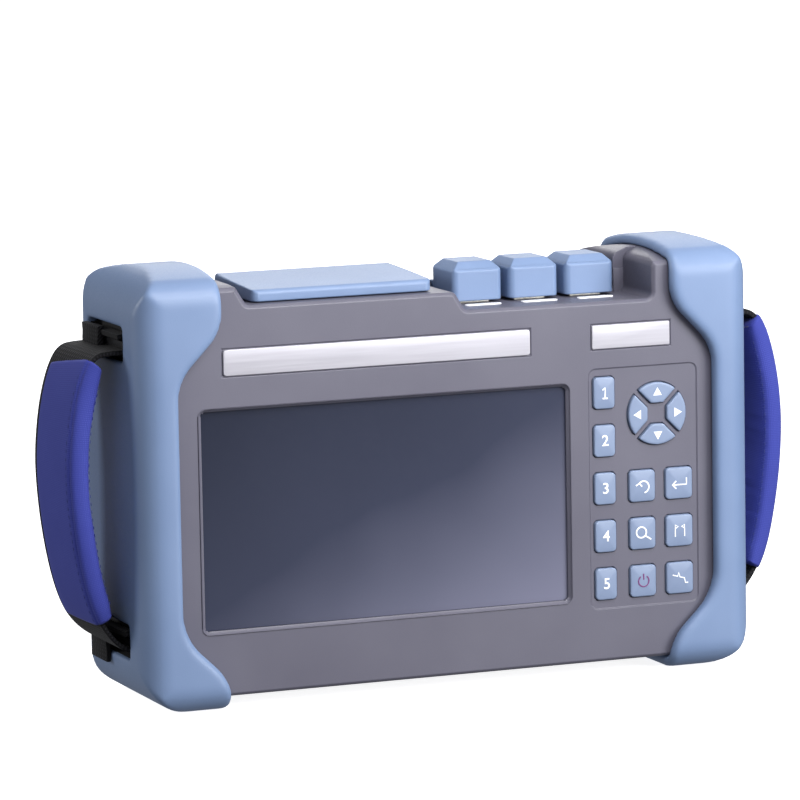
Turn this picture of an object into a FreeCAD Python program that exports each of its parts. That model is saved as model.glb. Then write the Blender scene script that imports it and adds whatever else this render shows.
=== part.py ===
"""Optical time domain reflectometer: a hand-held fibre tester, as an assembly of its separate pieces.

Frame: origin at the middle of the footprint, +X to the right seen from the front, +Y to the back
(the screen faces -Y), +Z up. Millimetres.
"""
import FreeCAD, Part
import math
import os

# ---------------------------------------------------------------- overall sizes
BODY_WIDTH = 253.0            # across both end bumpers
BODY_DEPTH = 73.6             # bumper front to bumper back
BODY_HEIGHT = 168.0           # feet to the crown of the bumpers
CROWN_Y = -3.0                # depth at which the top is highest; the two shells part here
CROWN_DROP_FRONT = 4.6        # how much lower the top is at the front
CROWN_DROP_REAR = 5.6

# ---------------------------------------------------------------- end bumpers (soft mouldings)
BUMPER_SIDE_WALL = 5.5
BUMPER_FACE_WALL = 5.8
BUMPER_TOP_WALL = 4.2
BUMPER_FOOT_WALL = 5.0
BUMPER_CORNER_RADIUS = 20.0
BUMPER_EDGE_RADIUS = 10.5
BUMPER_RIM_CHAMFER = 1.6      # bevel of the rim that stands proud of the case
BUMPER_FIT = 0.15             # gap between bumper and case
LOBE_REACH = 34.0             # upper lobe of a bumper, from its side face inwards
WAIST_REACH = 16.1
FOOT_REACH = 35.5
UPPER_BEND_DROPS = (22.8, 41.3)   # corners of the S-bend above the waist, below the crown
LOWER_BEND_Z = (29.7, 11.0)       # and those of the bend below the waist
UPPER_BEND_RADIUS = 18.0
LOWER_BEND_RADIUS = 22.0

# ---------------------------------------------------------------- case shells
FRONT_WALL = 2.2
CASE_WALL = 2.4
CASE_CORNER_CLIP = 15.0       # corners cut off under the bumpers
CASE_BEVEL = 1.2              # bevel round the front face and the back face
SHOULDER_RADIUS = 4.0
SHOULDER_BEND_RISE = 7.5      # a shoulder turns out over its wall this far above the ledge
SHOULDER_FLARE = 0.4          # rise of the shoulder per unit of width beyond that
SHOULDER_SLOPE = 0.6          # sideways lean of the left shoulder wall per unit of height
LEDGE_DROP = 14.3             # shelf that carries the port cover, below the crown
BAY_DROP = 21.6               # lower shelf that carries the fibre adapters, below the crown
LEDGE_INSET = 45.7            # left end of the ledge, from the side face
STEP_RUN = 4.4                # width of the slope from the ledge down to the bay
STEP_RADIUS = 2.6
BAY_LEFT_GAP = 2.5            # bay floor beyond the first cap
BAY_RIGHT_GAP = 7.8           # and beyond the last one
BAY_REAR_NARROWING = 4.4      # right wall of the bay stands this much further in at the back

# ---------------------------------------------------------------- screen
SCREEN_MARGIN = 10.0          # left edge of the screen from the waist of the left bumper
SCREEN_Z = 72.2
SCREEN_WIDTH = 150.0
SCREEN_HEIGHT = 83.9
SCREEN_BEVEL = 1.2
SCREEN_CORNER = 1.8
GLASS_THICKNESS = 1.1
GLASS_OVERLAP = 2.5           # glass hidden behind the bezel on each side
SCREEN_GASKET_THICKNESS = 0.5
LCD_MARGIN = 7.0              # display frame beyond the visible area on each side
LCD_THICKNESS = 5.8

# ---------------------------------------------------------------- plates on the front
PLATE_THICKNESS = 1.0
PLATE_PROUD = 0.4
PLATE_GAP = 0.5
TITLE_PLATE_SIZE = (125.4, 9.9)       # width, height
TITLE_PLATE_INSET = 98.2              # its middle from the left side face
TITLE_PLATE_DROP = 35.5               # its middle below the crown
BADGE_PLATE_SIZE = (32.9, 9.24)
BADGE_PLATE_INSET = 49.6              # from the right side face
BADGE_PLATE_DROP = 35.4

# ---------------------------------------------------------------- keypad
KEYPAD_MARGIN = 5.6           # right edge of the keypad from the waist of the right bumper
KEYPAD_WIDTH = 45.9
KEYPAD_BOTTOM = 25.9
KEYPAD_TOP = 120.2
KEYPAD_DEPTH = 0.5
KEYPAD_CORNER = 3.0
KEY_HEIGHT = 12.4
KEY_TOP_ROW_DROP = 9.5        # middle of the top row below the top of the keypad
KEY_ROW_PITCH = 18.75
KEY_CORNER = 1.0              # cut off at 45 degrees
KEY_PROUD = 1.4
KEY_GAP = 0.25
KEY_TRAVEL = 1.0
KEY_FLANGE = 0.8              # how far the hidden flange reaches beyond the key
KEY_FLANGE_THICKNESS = 1.0
KEY_STOP_GAP = 0.1
NUMBER_COLUMN = (6.3, 8.9)    # middle from the left edge of the keypad, and key width
MIDDLE_COLUMN = (22.0, 10.95)
RIGHT_COLUMN = (37.7, 11.35)
ARROW_PAD_INSET = 28.7        # middle of the arrow pad from the left edge of the keypad
ARROW_PAD_DROP = 18.9         # and below its top
ARROW_PAD_RADIUS = 12.25
ARROW_PAD_CENTRE = 8.2        # width of the bare middle
ARROW_PAD_GAP = 2.3           # gap along the diagonals
MAT_THICKNESS = 1.0
MAT_CLEARANCE = 0.4           # mat to a fully pressed key
KEYPAD_BOARD_MARGIN = 3.0

# ---------------------------------------------------------------- fibre adapters and their caps
PORT_COUNT = 3
CAP_ROW_INSET = 81.85         # middle of the row of caps from the right side face
CAP_WIDTH = 20.7
CAP_SPACING = 2.9             # gap between neighbouring caps
CAP_FRONT_Y = -12.0
CAP_DEPTH = 22.5
CAP_CLEARANCE = 1.0           # cap above the bay floor
CAP_HEIGHT = 15.2
CAP_CHAMFER = 3.6
CAP_WALL = 2.0
CAP_EDGE_RADIUS = 2.6
CAP_HINGE_BACK = 2.6          # hinge axis behind the cap's back face
CAP_HINGE_RISE = 5.2          # and above the bay floor
HINGE_PIN_RADIUS = 1.0
HINGE_PIN_GAP = 0.06
KNUCKLE_RADIUS = 2.2
KNUCKLE_GAP = 0.4
LUG_WIDTH = 3.0
LUG_CLIP = 1.2                # corners cut off the top of a lug
COVER_KNUCKLE_WIDTH = 44.0
ADAPTER_FLANGE = 12.8
ADAPTER_FLANGE_THICKNESS = 1.6
ADAPTER_BARREL_RADIUS = 4.0
ADAPTER_HEIGHT = 11.2         # above the bay floor
ADAPTER_TAIL_SIDE = 8.0
ADAPTER_TAIL_GAP = 0.1
FERRULE_BORE_RADIUS = 1.25
FERRULE_BORE_LENGTH = 12.0
MODULE_DROP = 6.4             # top of the optical module below the bay floor
MODULE_HEIGHT = 38.0
MODULE_DEPTH = 26.0
MODULE_GAP = 4.05             # optical module behind the main board
MODULE_END = 11.0             # module beyond the outer adapters' axes
MODULE_ENTRY = 5.0            # how deep an adapter's tail sits in the optical module
LABEL_STRIP = (15.0, 3.4, 0.4)
LABEL_GAP = 3.2               # label strip before the cap's front face

# ---------------------------------------------------------------- port cover and the sockets under it
COVER_LEFT_GAP = 4.2          # ledge beyond the cover on the left
COVER_RIGHT_GAP = 7.2
COVER_FRONT_INSET = 5.6       # cover's front edge behind the face of the case
COVER_REAR_INSET = 12.0       # its rear edge before the back of the case
COVER_FRONT_RISE = 4.9        # top of the cover above the ledge at its front edge
COVER_REAR_RISE = 7.3
COVER_CLEARANCE = 0.4         # cover to ledge
COVER_WALL = 2.0
COVER_CORNER = 3.0
COVER_EDGE_RADIUS = 2.0
COVER_HINGE_RISE = 2.7
SOCKET_RECESS = 0.6
SOCKET_GAP = 0.3
SOCKET_ROW_Y = -3.0
SOCKET_BODY_HEIGHT = 13.0
SOCKET_DEPTH = 11.0
NETWORK_SOCKET = (16.0, 13.6, 11.8, 8.0)          # width, depth, mouth width, mouth depth
NETWORK_SOCKET_INSET = 17.8                       # middle from the left end of the ledge
HOST_SOCKET = (7.2, 14.6, 5.2, 12.8)
HOST_SOCKET_INSETS = (33.8, 43.8)
DEVICE_SOCKET = (12.0, 11.0, 8.5, 7.8)
DEVICE_SOCKET_INSET = 55.3
POWER_SOCKET_SIZE = 9.0
POWER_SOCKET_INSET = 67.8
POWER_MOUTH_RADIUS = 2.9
POWER_PIN_RADIUS = 1.05
BOARD_THICKNESS = 1.6
LATCH_SLOT = (5.0, 1.6)
PORTS_BOARD_MARGIN = 3.6                          # ports board beyond the outer sockets
PORTS_BOARD_Y = (-17.0, 12.4)

# ---------------------------------------------------------------- boards
MAIN_BOARD_WIDTH = 128.0
MAIN_BOARD_INSET = 48.5       # left edge from the side face
MAIN_BOARD_Z = (11.0, 132.0)
MAIN_BOARD_GAP = 2.0          # main board behind the display
POST_SIDE = 3.4               # square posts that carry the boards
POST_INSET = 0.3

# ---------------------------------------------------------------- battery
BATTERY = (132.0, 20.0, 38.0)                     # width, depth, height
BATTERY_Z = 33.0
BATTERY_GAP = 0.6
WELL_WALL = 1.8
DOOR_WIDTH = 154.0
DOOR_HEIGHT = 46.0
DOOR_THICKNESS = 2.4
DOOR_GAP = 0.25
DOOR_CORNER = 4.0

# ---------------------------------------------------------------- kickstand
STAND_WIDTH = 92.0
STAND_HEIGHT = 76.0
STAND_TOP_Z = 140.0
STAND_THICKNESS = 4.0
STAND_LEG = 15.0
STAND_GAP = 0.5
STAND_CORNER = 8.0
STAND_PIN_RADIUS = 1.25
STAND_PIN_LENGTH = 2.0        # pivot stub beyond the side of the stand
STAND_PIN_GAP = 0.06
STAND_FINGER = (26.0, 7.0)                        # finger scoop under the stand: width, height

# ---------------------------------------------------------------- hand straps
STRAP_WIDTH = 38.0
STRAP_Y = 3.0                 # middle of the strap's width
WEBBING_THICKNESS = 1.8
SLOT_UPPER_DROP = 28.0        # upper slot below the crown
SLOT_LOWER_Z = 26.3
SLOT_HEIGHT = 13.4
SLOT_WIDTH = 41.0
ANCHOR_SIDE = 2.4             # square anchor bar
ANCHOR_INSET = 1.9            # its axis behind the bumper's side face
ANCHOR_SEAT = 3.0             # how far each end of a bar sits in the bumper
PAD_INNER = 6.2               # pad thickness on the hand's side of the webbing
PAD_OUTER = 1.0
PAD_CHANNEL_GAP = 0.3
PAD_FORWARD = 2.5             # the pad's front edge before the webbing's
PAD_SHORT = 3.0               # the webbing's rear edge beyond the pad's
PAD_TOP_DROP = 10.6           # upper end of the pad below the upper anchor bar
PAD_BOTTOM_RISE = 11.7        # lower end above the lower bar
STRAP_BULGE = 20.0            # webbing beyond the bumper's side face at mid height
# Corners of the webbing's line: share of the bulge, height from the nearer anchor bar, radius.
STRAP_UPPER_PATH = ((0.75, -2.7, 8.0), (1.0, -28.0, 70.0))
STRAP_LOWER_PATH = ((1.0, 51.7, 90.0), (0.64, 10.7, 16.0))


# ================================================================ helpers
SAME_POINT = 1e-6


def vector(x, y, z):
    return FreeCAD.Vector(x, y, z)


FRONT = lambda level: (lambda u, v: vector(u, level, v))      # u right, v up, at depth level
TOP = lambda level: (lambda u, v: vector(u, v, level))        # u right, v back, at height level
SIDE = lambda level: (lambda u, v: vector(level, u, v))       # u back, v up, at width level


def rounded_outline(points, radii, place):
    """Closed wire through points, each corner rounded by its radius."""
    if not isinstance(radii, (list, tuple)):
        radii = [radii] * len(points)
    edges = []
    previous_end = None
    first_start = None
    count = len(points)
    for index, (corner, radius) in enumerate(zip(points, radii)):
        start, middle, end = corner_arc(points[index - 1], corner, points[(index + 1) % count], radius)
        if previous_end is not None and math.dist(previous_end, start) > SAME_POINT:
            edges.append(Part.makeLine(place(*previous_end), place(*start)))
        if radius > 0:
            edges.append(Part.Arc(place(*start), place(*middle), place(*end)).toShape())
        previous_end = end
        first_start = first_start or start
    if math.dist(previous_end, first_start) > SAME_POINT:
        edges.append(Part.makeLine(place(*previous_end), place(*first_start)))
    return Part.Wire(edges)


def corner_arc(before, corner, after, radius):
    """Start, middle and end of the arc that rounds one corner."""
    if radius <= 0:
        return corner, corner, corner
    to_before = unit(before[0] - corner[0], before[1] - corner[1])
    to_after = unit(after[0] - corner[0], after[1] - corner[1])
    half_angle = math.acos(max(-1.0, min(1.0, to_before[0] * to_after[0] + to_before[1] * to_after[1]))) / 2
    reach = radius / math.tan(half_angle)
    bisector = unit(to_before[0] + to_after[0], to_before[1] + to_after[1])
    to_middle = radius / math.sin(half_angle) - radius
    start = (corner[0] + to_before[0] * reach, corner[1] + to_before[1] * reach)
    end = (corner[0] + to_after[0] * reach, corner[1] + to_after[1] * reach)
    middle = (corner[0] + bisector[0] * to_middle, corner[1] + bisector[1] * to_middle)
    return start, middle, end


def unit(u, v):
    length = math.hypot(u, v)
    return u / length, v / length


def rectangle(centre_u, centre_v, width, height):
    half_w, half_h = width / 2, height / 2
    return [(centre_u - half_w, centre_v - half_h), (centre_u + half_w, centre_v - half_h),
            (centre_u + half_w, centre_v + half_h), (centre_u - half_w, centre_v + half_h)]


def clipped(outline, clip):
    """A rectangle's outline with each corner cut off at 45 degrees."""
    (left, low), (right, _), (_, high), _ = outline
    return [(left + clip, low), (right - clip, low), (right, low + clip), (right, high - clip),
            (right - clip, high), (left + clip, high), (left, high - clip), (left, low + clip)]


def prism(points, radii, place, along):
    """Solid from a rounded outline pushed along a vector."""
    return Part.Face(rounded_outline(points, radii, place)).extrude(along)


def front_prism(points, radii, y_from, y_to):
    return prism(points, radii, FRONT(y_from), vector(0, y_to - y_from, 0))


def top_prism(points, radii, z_from, z_to):
    return prism(points, radii, TOP(z_from), vector(0, 0, z_to - z_from))


def box(x_from, x_to, y_from, y_to, z_from, z_to):
    return Part.makeBox(x_to - x_from, y_to - y_from, z_to - z_from, vector(x_from, y_from, z_from))


def rod(x, y, z, radius, length, axis):
    return Part.makeCylinder(radius, length, vector(x, y, z), axis)


ALONG_X = vector(1, 0, 0)
ALONG_Y = vector(0, 1, 0)
ALONG_Z = vector(0, 0, 1)


def fuse(first, *others):
    return first.fuse(list(others)).removeSplitter() if others else first


def round_edges(solid, radius, chosen):
    """Fillet the edges for which chosen(edge) is true."""
    return solid.makeFillet(radius, [edge for edge in solid.Edges if chosen(edge)])


def on_plane(axis, level):
    """Tester for edges that lie in the plane where axis ("x", "y", "z") equals level."""
    low, high = axis.upper() + "Min", axis.upper() + "Max"
    return lambda edge: (abs(getattr(edge.BoundBox, low) - level) < 1e-3
                         and abs(getattr(edge.BoundBox, high) - level) < 1e-3)


def mirrored(shape):
    return shape.mirror(vector(0, 0, 0), vector(1, 0, 0))


# ================================================================ derived planes
HALF_WIDTH = BODY_WIDTH / 2
HALF_DEPTH = BODY_DEPTH / 2
FACE_Y = -HALF_DEPTH + BUMPER_FACE_WALL           # front face of the case
BACK_Y = HALF_DEPTH - BUMPER_FACE_WALL            # back face of the case
INNER_FACE_Y = FACE_Y + FRONT_WALL
INNER_BACK_Y = BACK_Y - CASE_WALL
CASE_HALF_WIDTH = HALF_WIDTH - BUMPER_SIDE_WALL
BURIED = 0.5                                      # how far a boss runs into the wall that carries it

LOBE_INNER_X = HALF_WIDTH - LOBE_REACH
WAIST_INNER_X = HALF_WIDTH - WAIST_REACH
FOOT_INNER_X = HALF_WIDTH - FOOT_REACH

CAP_PITCH = CAP_WIDTH + CAP_SPACING
CAP_FIRST_X = HALF_WIDTH - CAP_ROW_INSET - CAP_PITCH * (PORT_COUNT - 1) / 2
CAP_XS = [CAP_FIRST_X + CAP_PITCH * index for index in range(PORT_COUNT)]
LEDGE_Z = BODY_HEIGHT - LEDGE_DROP
BAY_FLOOR_Z = BODY_HEIGHT - BAY_DROP
SHOULDER_BEND_Z = LEDGE_Z + SHOULDER_BEND_RISE
LEDGE_LEFT_X = -HALF_WIDTH + LEDGE_INSET
BAY_LEFT_X = CAP_XS[0] - CAP_WIDTH / 2 - BAY_LEFT_GAP
BAY_RIGHT_X = CAP_XS[-1] + CAP_WIDTH / 2 + BAY_RIGHT_GAP
BAY_REAR_RIGHT_X = BAY_RIGHT_X - BAY_REAR_NARROWING
STEP_TOP_X = BAY_LEFT_X - STEP_RUN

CAP_BOTTOM_Z = BAY_FLOOR_Z + CAP_CLEARANCE
CAP_TOP_Z = CAP_BOTTOM_Z + CAP_HEIGHT
CAP_BACK_Y = CAP_FRONT_Y + CAP_DEPTH
CAP_CENTRE_Y = CAP_FRONT_Y + CAP_DEPTH / 2
CAP_HINGE_Y = CAP_BACK_Y + CAP_HINGE_BACK
CAP_HINGE_Z = BAY_FLOOR_Z + CAP_HINGE_RISE
ADAPTER_TOP_Z = BAY_FLOOR_Z + ADAPTER_HEIGHT
MODULE_TOP_Z = BAY_FLOOR_Z - MODULE_DROP
LABEL_Y = CAP_FRONT_Y - LABEL_GAP - LABEL_STRIP[1] / 2

COVER_LEFT_X = LEDGE_LEFT_X + COVER_LEFT_GAP
COVER_RIGHT_X = STEP_TOP_X - COVER_RIGHT_GAP
COVER_FRONT_Y = FACE_Y + COVER_FRONT_INSET
COVER_REAR_Y = BACK_Y - COVER_REAR_INSET
COVER_FRONT_Z = LEDGE_Z + COVER_FRONT_RISE
COVER_REAR_Z = LEDGE_Z + COVER_REAR_RISE
COVER_HINGE_Y = COVER_REAR_Y + CAP_HINGE_BACK
COVER_HINGE_Z = LEDGE_Z + COVER_HINGE_RISE
NETWORK_SOCKET_X = LEDGE_LEFT_X + NETWORK_SOCKET_INSET
HOST_SOCKET_XS = [LEDGE_LEFT_X + inset for inset in HOST_SOCKET_INSETS]
DEVICE_SOCKET_X = LEDGE_LEFT_X + DEVICE_SOCKET_INSET
POWER_SOCKET_X = LEDGE_LEFT_X + POWER_SOCKET_INSET
PORTS_BOARD = (NETWORK_SOCKET_X - NETWORK_SOCKET[0] / 2 - PORTS_BOARD_MARGIN,
               POWER_SOCKET_X + POWER_SOCKET_SIZE / 2 + PORTS_BOARD_MARGIN) + PORTS_BOARD_Y

TITLE_PLATE = (-HALF_WIDTH + TITLE_PLATE_INSET, BODY_HEIGHT - TITLE_PLATE_DROP) + TITLE_PLATE_SIZE
BADGE_PLATE = (HALF_WIDTH - BADGE_PLATE_INSET, BODY_HEIGHT - BADGE_PLATE_DROP) + BADGE_PLATE_SIZE
SCREEN_X = -WAIST_INNER_X + SCREEN_MARGIN + SCREEN_WIDTH / 2
KEYPAD_RIGHT = WAIST_INNER_X - KEYPAD_MARGIN
KEYPAD_LEFT = KEYPAD_RIGHT - KEYPAD_WIDTH
KEY_TOP_ROW_Z = KEYPAD_TOP - KEY_TOP_ROW_DROP
ARROW_PAD_X = KEYPAD_LEFT + ARROW_PAD_INSET
ARROW_PAD_Z = KEYPAD_TOP - ARROW_PAD_DROP
KEY_TOP_Y = FACE_Y + KEYPAD_DEPTH - KEY_PROUD
KEY_FLANGE_Y = INNER_FACE_Y + KEY_STOP_GAP
MAT_FRONT_Y = KEY_FLANGE_Y + KEY_FLANGE_THICKNESS + KEY_TRAVEL + MAT_CLEARANCE
KEYPAD_BOARD = (KEYPAD_LEFT, KEYPAD_RIGHT + 1, KEYPAD_BOTTOM - KEYPAD_BOARD_MARGIN,
                KEYPAD_TOP + KEYPAD_BOARD_MARGIN)
GLASS_WIDTH = SCREEN_WIDTH + 2 * GLASS_OVERLAP
GLASS_HEIGHT = SCREEN_HEIGHT + 2 * GLASS_OVERLAP
SOCKET_TOP_Z = LEDGE_Z - SOCKET_RECESS
PORTS_BOARD_TOP_Z = SOCKET_TOP_Z - SOCKET_BODY_HEIGHT
LCD_BACK_Y = INNER_FACE_Y + GLASS_THICKNESS + SCREEN_GASKET_THICKNESS + LCD_THICKNESS
MAIN_BOARD_Y = LCD_BACK_Y + MAIN_BOARD_GAP
MAIN_BOARD_LEFT = -HALF_WIDTH + MAIN_BOARD_INSET
MAIN_BOARD = (MAIN_BOARD_LEFT, MAIN_BOARD_LEFT + MAIN_BOARD_WIDTH) + MAIN_BOARD_Z
MODULE_X = (CAP_XS[0] - MODULE_END, CAP_XS[-1] + MODULE_END)
MODULE_FRONT_Y = MAIN_BOARD_Y + BOARD_THICKNESS + MODULE_GAP
MODULE_BACK_Y = MODULE_FRONT_Y + MODULE_DEPTH
MODULE_BACK = MODULE_X + (MODULE_TOP_Z - MODULE_HEIGHT, MODULE_TOP_Z)
WELL_FLOOR_Y = BACK_Y - DOOR_THICKNESS - BATTERY[1]
STAND_Z = STAND_TOP_Z - STAND_HEIGHT / 2
STAND_FLOOR_Y = BACK_Y - STAND_THICKNESS - STAND_GAP
STAND_PIN_Y = BACK_Y - STAND_THICKNESS / 2 - 0.1
STAND_PIN_Z = STAND_TOP_Z - STAND_THICKNESS / 2
ANCHOR_X = HALF_WIDTH - ANCHOR_INSET
SLOT_UPPER_Z = BODY_HEIGHT - SLOT_UPPER_DROP
PAD_TOP_Z = SLOT_UPPER_Z - PAD_TOP_DROP
PAD_BOTTOM_Z = SLOT_LOWER_Z + PAD_BOTTOM_RISE
LOOP_RADIUS = ANCHOR_SIDE / math.sqrt(2) + WEBBING_THICKNESS / 2
FAR = 400.0                                       # beyond every surface, for through cuts


def crown_circle():
    """Centre (y, z) and radius of the arc that crowns the top, through its front, crown and back."""
    (y1, z1), (y2, z2), (y3, z3) = ((-HALF_DEPTH, BODY_HEIGHT - CROWN_DROP_FRONT), (CROWN_Y, BODY_HEIGHT),
                                    (HALF_DEPTH, BODY_HEIGHT - CROWN_DROP_REAR))
    a, b, c, d = y2 - y1, z2 - z1, y3 - y1, z3 - z1
    e, f = (a * a + b * b) / 2, (c * c + d * d) / 2
    offset_y, offset_z = (d * e - b * f) / (a * d - b * c), (a * f - c * e) / (a * d - b * c)
    return y1 + offset_y, z1 + offset_z, math.hypot(offset_y, offset_z)


CROWN_CENTRE_Y, CROWN_CENTRE_Z, CROWN_RADIUS = crown_circle()


def top_height(y, inset=0.0):
    """Height of the crowned top at depth y, drawn in by inset."""
    return CROWN_CENTRE_Z + math.sqrt((CROWN_RADIUS - inset) ** 2 - (y - CROWN_CENTRE_Y) ** 2)


def case_block(grow=0.0, bevel=0.0):
    """Outer form of the two case shells together, before the top is cut."""
    half = CASE_HALF_WIDTH + grow
    foot = BUMPER_FOOT_WALL - grow
    inset = BUMPER_TOP_WALL - grow
    y_front, y_back = FACE_Y - grow, BACK_Y + grow
    above = BODY_HEIGHT + CASE_CORNER_CLIP / 4
    corners = [(-half, foot), (half, foot), (half, above), (-half, above)]
    outline = front_prism(clipped(corners, CASE_CORNER_CLIP), 0, y_front, y_back)
    return outline.common(crown_prism(half + 1, foot, inset, y_front, y_back, bevel))


def crown_prism(half, foot, inset, y_front, y_back, bevel=0.0):
    """Everything under the crowned top, drawn in by inset, its front and back edges bevelled."""
    in_front, in_back = y_front + bevel, y_back - bevel
    sides = [(in_front, top_height(in_front, inset)), (y_front, top_height(y_front, inset) - bevel),
             (y_front, foot + bevel), (in_front, foot), (in_back, foot), (y_back, foot + bevel),
             (y_back, top_height(y_back, inset) - bevel), (in_back, top_height(in_back, inset))]
    at = SIDE(-half)
    edges = [Part.makeLine(at(*start), at(*end)) for start, end in zip(sides, sides[1:])
             if math.dist(start, end) > SAME_POINT]
    crown = at(CROWN_CENTRE_Y, CROWN_CENTRE_Z + CROWN_RADIUS - inset)
    edges.append(Part.Arc(at(*sides[-1]), crown, at(*sides[0])).toShape())
    return Part.Face(Part.Wire(edges)).extrude(vector(2 * half, 0, 0))


# ================================================================ end bumpers
def bumper_window():
    """Outline that holds the right-hand bumper, seen from the front, and the radius of each corner."""
    lobe_end, waist_start = (BODY_HEIGHT - drop for drop in UPPER_BEND_DROPS)
    points = [(LOBE_INNER_X, FAR), (LOBE_INNER_X, lobe_end), (WAIST_INNER_X, waist_start),
              (WAIST_INNER_X, LOWER_BEND_Z[0]), (FOOT_INNER_X, LOWER_BEND_Z[1]), (FOOT_INNER_X, -FAR),
              (FAR, -FAR), (FAR, FAR)]
    radii = [0, UPPER_BEND_RADIUS, UPPER_BEND_RADIUS, LOWER_BEND_RADIUS, LOWER_BEND_RADIUS, 0, 0, 0]
    return points, radii


def bumper_form():
    """Outer skin of both bumpers: the front, side and top outlines of the instrument, each rounded."""
    above = BODY_HEIGHT + 1.0
    front_view = front_prism(rectangle(0, above / 2, BODY_WIDTH, above), BUMPER_CORNER_RADIUS,
                             -HALF_DEPTH, HALF_DEPTH)
    top_view = top_prism(rectangle(0, 0, BODY_WIDTH, BODY_DEPTH), BUMPER_EDGE_RADIUS, -1, above + 1)
    side_view = crown_prism(HALF_WIDTH + 1, 0, 0, -HALF_DEPTH, HALF_DEPTH)
    side_view = round_edges(side_view, BUMPER_EDGE_RADIUS, lambda edge: edge.BoundBox.XLength > BODY_WIDTH)
    return front_view.common(side_view).common(top_view)


def right_bumper():
    wrapped = bumper_form().common(front_prism(*bumper_window(), -FAR, FAR))
    rim = [edge for edge in wrapped.Edges if is_rim(edge)]
    shell = wrapped.makeChamfer(BUMPER_RIM_CHAMFER, rim)
    shell = shell.cut(case_block(BUMPER_FIT))
    for slot_z in (SLOT_UPPER_Z, SLOT_LOWER_Z):
        corners = rectangle(STRAP_Y, slot_z, SLOT_WIDTH, SLOT_HEIGHT)
        shell = shell.cut(prism(corners, 0, SIDE(CASE_HALF_WIDTH - 3), vector(FAR, 0, 0)))
    return largest(shell.cut(anchor_bars()))


def is_rim(edge):
    """Edges where the bumper's inner wall meets its outer skin."""
    bounds = edge.BoundBox
    inner_wall = bounds.XMax < WAIST_INNER_X + 0.01
    runs_through = bounds.YLength > BODY_DEPTH - 1 and bounds.ZLength < 0.01
    return inner_wall and not runs_through


# ================================================================ case shells
def valley_outline(right_x, grow=0.0):
    """The hollow across the top and the radius of each corner: shoulders, ledge, step and bay."""
    wall_foot_x = LEDGE_LEFT_X - grow
    bend_x = wall_foot_x - (SHOULDER_BEND_Z - LEDGE_Z) * SHOULDER_SLOPE
    left_head = (bend_x - FAR, SHOULDER_BEND_Z - grow + FAR * SHOULDER_FLARE)
    right_head = (right_x + grow + FAR, SHOULDER_BEND_Z - grow + FAR * SHOULDER_FLARE)
    points = [left_head, (bend_x, SHOULDER_BEND_Z - grow), (wall_foot_x, LEDGE_Z - grow),
              (STEP_TOP_X - grow, LEDGE_Z - grow), (BAY_LEFT_X - grow, BAY_FLOOR_Z - grow),
              (right_x + grow, BAY_FLOOR_Z - grow), (right_x + grow, SHOULDER_BEND_Z - grow), right_head]
    shoulder, foot, brow = SHOULDER_RADIUS - grow, STEP_RADIUS + grow, STEP_RADIUS - grow
    return points, [0, shoulder, foot, brow, foot, foot, shoulder, 0]


def shell_skin(y_from, y_to, right_x, face_y):
    """Outer skin of one shell, its top cut to the shoulders, ledge and bay, bevelled round its face."""
    skin = case_block(bevel=CASE_BEVEL).common(box(-FAR, FAR, y_from, y_to, -FAR, FAR))
    skin = skin.cut(front_prism(*valley_outline(right_x), -FAR, FAR))
    return skin.cut(valley_bevel(right_x, face_y))


def valley_bevel(right_x, face_y):
    """What the bevel takes off the edges of the hollow at the front or back face of the case."""
    inwards = math.copysign(CASE_BEVEL, -face_y)
    mouth = rounded_outline(*valley_outline(right_x, CASE_BEVEL), FRONT(face_y))
    throat = rounded_outline(*valley_outline(right_x), FRONT(face_y + inwards))
    return Part.makeLoft([mouth, throat], True, True)


def cavity(y_from, y_to, right_x):
    """Room inside one shell, a wall's thickness within its skin."""
    half, foot = CASE_HALF_WIDTH - CASE_WALL, BUMPER_FOOT_WALL + CASE_WALL
    corners = [(-half, foot), (half, foot), (half, LEDGE_Z), (-half, LEDGE_Z)]
    room = front_prism(clipped(corners, CASE_CORNER_CLIP), 0, y_from, y_to)
    points, _ = valley_outline(right_x, CASE_WALL)
    return room.cut(front_prism(points, 0, -FAR, FAR))


def front_case():
    skin = shell_skin(FACE_Y, CROWN_Y, BAY_RIGHT_X, FACE_Y)
    shell = skin.cut(cavity(INNER_FACE_Y, CROWN_Y + 1, BAY_RIGHT_X))
    posts = [post(x, z, INNER_FACE_Y - BURIED, MAIN_BOARD_Y) for x, z in board_corners(MAIN_BOARD)]
    posts += [post(x, z, INNER_FACE_Y - BURIED, MAT_FRONT_Y) for x, z in board_corners(KEYPAD_BOARD)]
    posts += ledge_posts(front=True)
    shell = fuse(shell, *posts)
    cuts = [screen_opening(), keypad_recess()] + plate_pockets() + key_holes() + top_openings()
    return largest(shell.cut(cuts))


def post(x, z, y_from, y_to):
    """Square post that carries a board or the module from a wall in front of or behind it."""
    return box(x - POST_SIDE / 2, x + POST_SIDE / 2, y_from, y_to, z - POST_SIDE / 2, z + POST_SIDE / 2)


def screen_opening():
    """Window for the glass, its front edge bevelled outwards."""
    opening = front_prism(rectangle(SCREEN_X, SCREEN_Z, SCREEN_WIDTH, SCREEN_HEIGHT), SCREEN_CORNER,
                          FACE_Y, INNER_FACE_Y + 1)
    wide = rectangle(SCREEN_X, SCREEN_Z, SCREEN_WIDTH + 2 * SCREEN_BEVEL, SCREEN_HEIGHT + 2 * SCREEN_BEVEL)
    mouth = front_prism(wide, SCREEN_CORNER + SCREEN_BEVEL, FACE_Y, FACE_Y + SCREEN_BEVEL)
    mouth = mouth.makeChamfer(SCREEN_BEVEL - 0.001,
                              [edge for edge in mouth.Edges if on_plane("y", FACE_Y + SCREEN_BEVEL)(edge)])
    return opening.fuse(mouth)


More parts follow.
